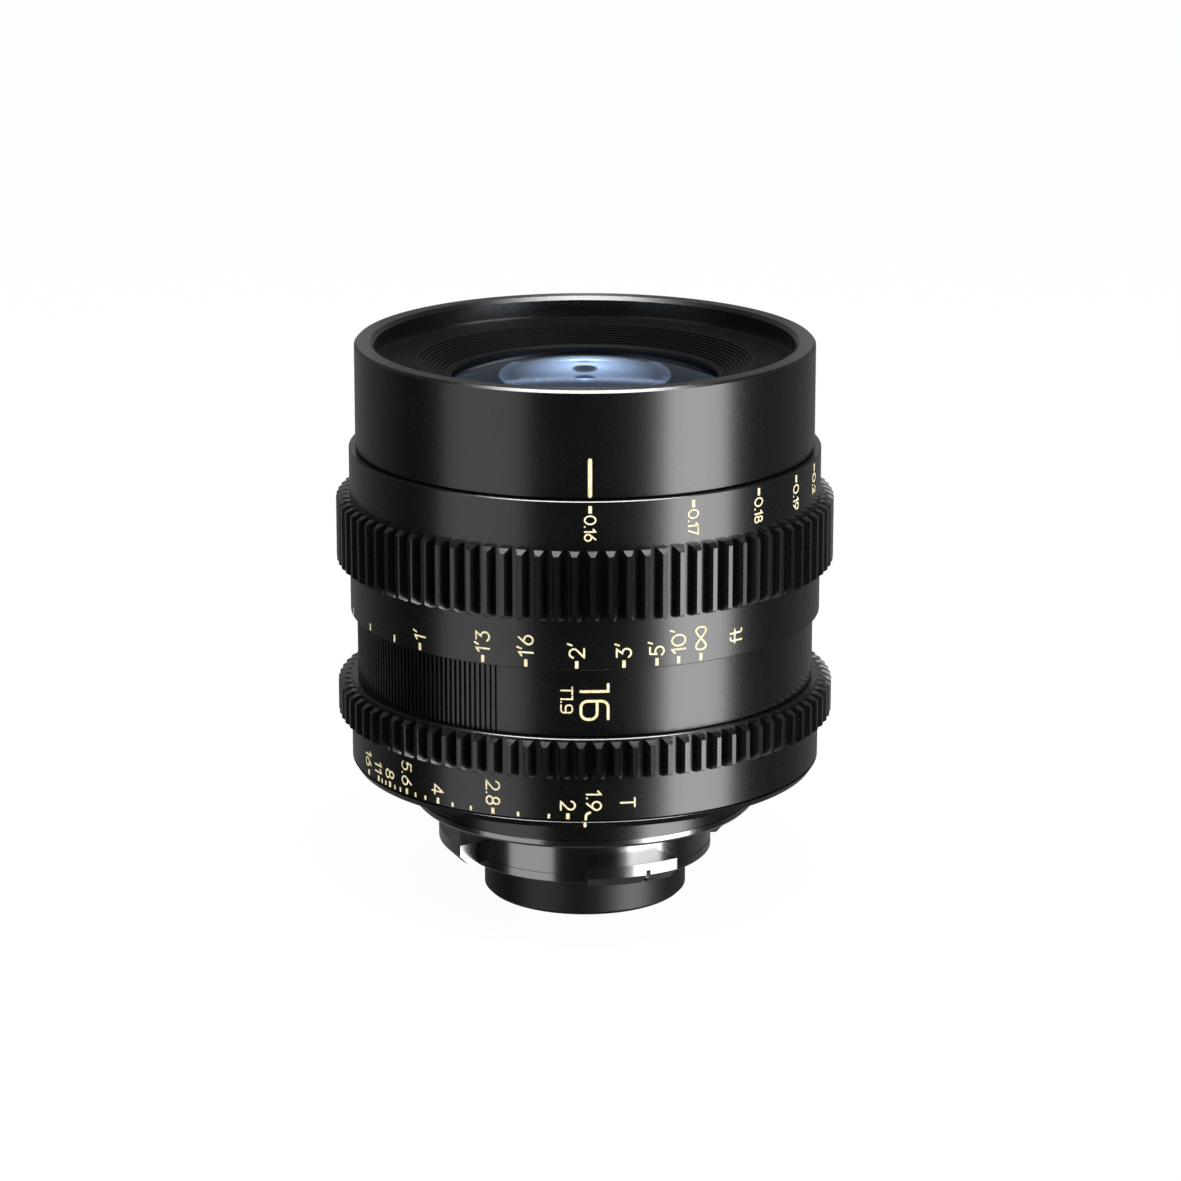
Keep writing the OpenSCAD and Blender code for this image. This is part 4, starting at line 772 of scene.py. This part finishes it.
class LENS_OT_stage(bpy.types.Operator):
    """Set the floor, the lamps, the surround and the camera"""

    bl_idname = "lens.stage"
    bl_label = "Studio"

    def execute(self, context):
        stage = context.scene.lens_stage
        scene = context.scene
        scene.view_settings.view_transform = "Standard"
        half = FLOOR_HALF
        low = CAD_BOX[0][2]
        sheet = bpy.data.meshes.new("floor")
        sheet.from_pydata([(-half, -half, low), (half, -half, low), (half, half, low), (-half, half, low)],
                          [], [(0, 1, 2, 3)])
        floor = bpy.data.objects.new("floor", sheet)
        scene.collection.objects.link(floor)
        floor.visible_glossy = False
        floor.visible_shadow = False
        sheet.materials.append(pale_floor(stage))
        self.lamp("key_lamp", (0.456, -0.308, -0.05), SIDE_AIM, (0.34, SIDE_TALL), stage.key_power)
        self.lamp("key_glow", (0.354, -0.421, -0.05), SIDE_AIM, (0.16, SIDE_TALL), stage.glow_power)
        self.lamp("fill_lamp", (-0.421, -0.354, -0.05), SIDE_AIM, (0.44, SIDE_TALL), stage.fill_power)
        self.lamp("top_lamp", (0.0, -0.22, 0.85), (0.0, 0.0, 0.06), (1.0, 0.2), stage.top_power)
        self.card(stage)
        self.surround(scene, stage)
        self.camera(scene, stage)
        return {"FINISHED"}

    def lamp(self, name, place, aim, size, power):
        """One soft rectangular lamp, which the camera itself doesn't see."""
        data = bpy.data.lights.new(name, "AREA")
        data.shape = "RECTANGLE"
        data.size, data.size_y = size
        data.energy = power
        lamp = bpy.data.objects.new(name, data)
        lamp.location = place
        lamp.rotation_euler = (Vector(aim) - Vector(place)).to_track_quat("-Z", "Y").to_euler()
        lamp.visible_camera = False
        bpy.context.scene.collection.objects.link(lamp)

    def card(self, stage):
        """A small glowing card behind the lens, which only the glass and the rim mirror."""
        middle, (wide, tall) = CARD_MIDDLE, CARD_HALF
        sheet = bpy.data.meshes.new("card")
        sheet.from_pydata([(middle.x + x * wide, middle.y, middle.z + z * tall)
                           for x, z in ((-1, -1), (1, -1), (1, 1), (-1, 1))], [], [(0, 1, 2, 3)])
        material, tree, shader = new_material("glowing_card")
        tree.nodes.remove(shader)
        place = add(tree, "ShaderNodeTexCoord").outputs["Object"]
        spot = add(tree, "ShaderNodeMapping",
                   [("Vector", place), ("Location", middle), ("Scale", CARD_SPOT)],
                   vector_type="TEXTURE")
        glow = add(tree, "ShaderNodeTexGradient", [("Vector", spot.outputs["Vector"])],
                   gradient_type="QUADRATIC_SPHERE")
        power = add(tree, "ShaderNodeMath",
                    [(0, glow.outputs["Fac"]), (1, stage.card), (2, stage.card * CARD_BASE)],
                    operation="MULTIPLY_ADD")
        light = add(tree, "ShaderNodeEmission",
                    [("Color", linear("#FFFFFF")), ("Strength", power.outputs[0])])
        tree.links.new(light.outputs[0], tree.nodes["Material Output"].inputs["Surface"])
        sheet.materials.append(material)
        card = bpy.data.objects.new("card", sheet)
        bpy.context.scene.collection.objects.link(card)
        card.visible_camera = card.visible_diffuse = card.visible_shadow = False

    def surround(self, scene, stage):
        """A white backdrop for the camera, and up to its top edge for glass and metal, in a dim studio."""
        world = bpy.data.worlds.new("studio")
        scene.world = world
        world.use_nodes = True
        tree = world.node_tree
        tree.nodes.clear()
        way = add(tree, "ShaderNodeTexCoord").outputs["Generated"]
        axes = add(tree, "ShaderNodeSeparateXYZ", [("Vector", way)])
        wall = add(tree, "ShaderNodeMapRange",
                   [("Value", axes.outputs["Y"]), ("From Min", 0.1), ("From Max", 0.9),
                    ("To Min", 0.015), ("To Max", stage.wall)])
        backdrop = add(tree, "ShaderNodeMapRange",
                       [("Value", axes.outputs["Z"]), ("From Min", BACKDROP_EDGE[0]),
                        ("From Max", BACKDROP_EDGE[1]), ("To Min", 1.0), ("To Max", 0.1)])
        path = add(tree, "ShaderNodeLightPath")
        # Metal shows the white only straight behind the lens, and the dim wall beside it
        behind = add(tree, "ShaderNodeMapRange",
                     [("Value", axes.outputs["Y"]), ("From Min", BACKDROP_BEHIND), ("From Max", 1.0)])
        mirrored = add(tree, "ShaderNodeMath",
                       [(0, path.outputs["Is Glossy Ray"]), (1, behind.outputs["Result"])],
                       operation="MULTIPLY")
        shown = add(tree, "ShaderNodeMath",
                    [(0, path.outputs["Is Transmission Ray"]), (1, mirrored.outputs[0])],
                    operation="MAXIMUM")
        level = add(tree, "ShaderNodeMix",
                    [("Factor", shown.outputs[0]), ("A", wall.outputs["Result"]),
                     ("B", backdrop.outputs["Result"])])
        strength = add(tree, "ShaderNodeMix",
                       [("Factor", path.outputs["Is Camera Ray"]), ("A", level.outputs["Result"]),
                        ("B", 1.0)])
        both = add(tree, "ShaderNodeBackground",
                   [("Color", linear("#FFFFFF")), ("Strength", strength.outputs["Result"])])
        add(tree, "ShaderNodeOutputWorld", [("Surface", both.outputs[0])])

    def camera(self, scene, stage):
        """The photograph's long view from a little above."""
        data = bpy.data.cameras.new("camera")
        data.lens = stage.focal
        data.sensor_width = 36
        data.shift_x, data.shift_y = CAMERA_SHIFT
        data.clip_start, data.clip_end = 0.01, 50
        camera = bpy.data.objects.new("camera", data)
        camera.location = CAMERA_PLACE
        camera.rotation_euler = (CAMERA_TILT, 0, 0)
        scene.collection.objects.link(camera)
        scene.camera = camera


def pale_floor(stage):
    """Matt white paper: the camera sees it nearly white, with the lens's soft shadow on it."""
    material, tree, shader = new_material("white_paper_floor")
    tree.nodes.remove(shader)
    out = tree.nodes["Material Output"]
    paper = add(tree, "ShaderNodeBsdfDiffuse", [("Color", tuple(stage.floor))])
    glow = add(tree, "ShaderNodeEmission", [("Color", linear("#FFFFFF")), ("Strength", 1.0)])
    seen = add(tree, "ShaderNodeMixShader", [(0, 0.03), (1, glow.outputs[0]), (2, paper.outputs[0])])
    path = add(tree, "ShaderNodeLightPath")
    both = add(tree, "ShaderNodeMixShader",
               [(0, path.outputs["Is Camera Ray"]), (1, paper.outputs[0]), (2, seen.outputs[0])])
    tree.links.new(both.outputs[0], out.inputs["Surface"])
    return material


OPERATORS = (LENS_OT_metal, LENS_OT_glass, LENS_OT_focus_figures, LENS_OT_stop_figures, LENS_OT_fixed_marks,
             LENS_OT_ticks, LENS_OT_screws, LENS_OT_stage)


class LENS_PT_panel(bpy.types.Panel):
    """The lens's making, step by step"""

    bl_idname = "LENS_PT_panel"
    bl_label = "Cinema lens"
    bl_space_type = "VIEW_3D"
    bl_region_type = "UI"
    bl_category = "Lens"

    def draw(self, context):
        for operator in OPERATORS:
            self.layout.operator(operator.bl_idname)
        for group in (context.scene.lens_finish, context.scene.lens_marks, context.scene.lens_stage):
            box = self.layout.box()
            for name in group.__annotations__:
                box.prop(group, name)


CLASSES = (LensFinish, LensMarks, LensStage) + OPERATORS + (LENS_PT_panel,)


def register():
    for item in CLASSES:
        bpy.utils.register_class(item)
    bpy.types.Scene.lens_finish = bpy.props.PointerProperty(type=LensFinish)
    bpy.types.Scene.lens_marks = bpy.props.PointerProperty(type=LensMarks)
    bpy.types.Scene.lens_stage = bpy.props.PointerProperty(type=LensStage)


def unregister():
    for name in ("lens_finish", "lens_marks", "lens_stage"):
        delattr(bpy.types.Scene, name)
    for item in reversed(CLASSES):
        bpy.utils.unregister_class(item)


def main():
    register()
    bpy.ops.lens.metal()
    bpy.ops.lens.glass()
    bpy.ops.lens.focus_figures()
    bpy.ops.lens.stop_figures()
    bpy.ops.lens.fixed_marks()
    bpy.ops.lens.ticks()
    bpy.ops.lens.screws()
    bpy.ops.lens.stage()


if __name__ == "__main__":
    main()
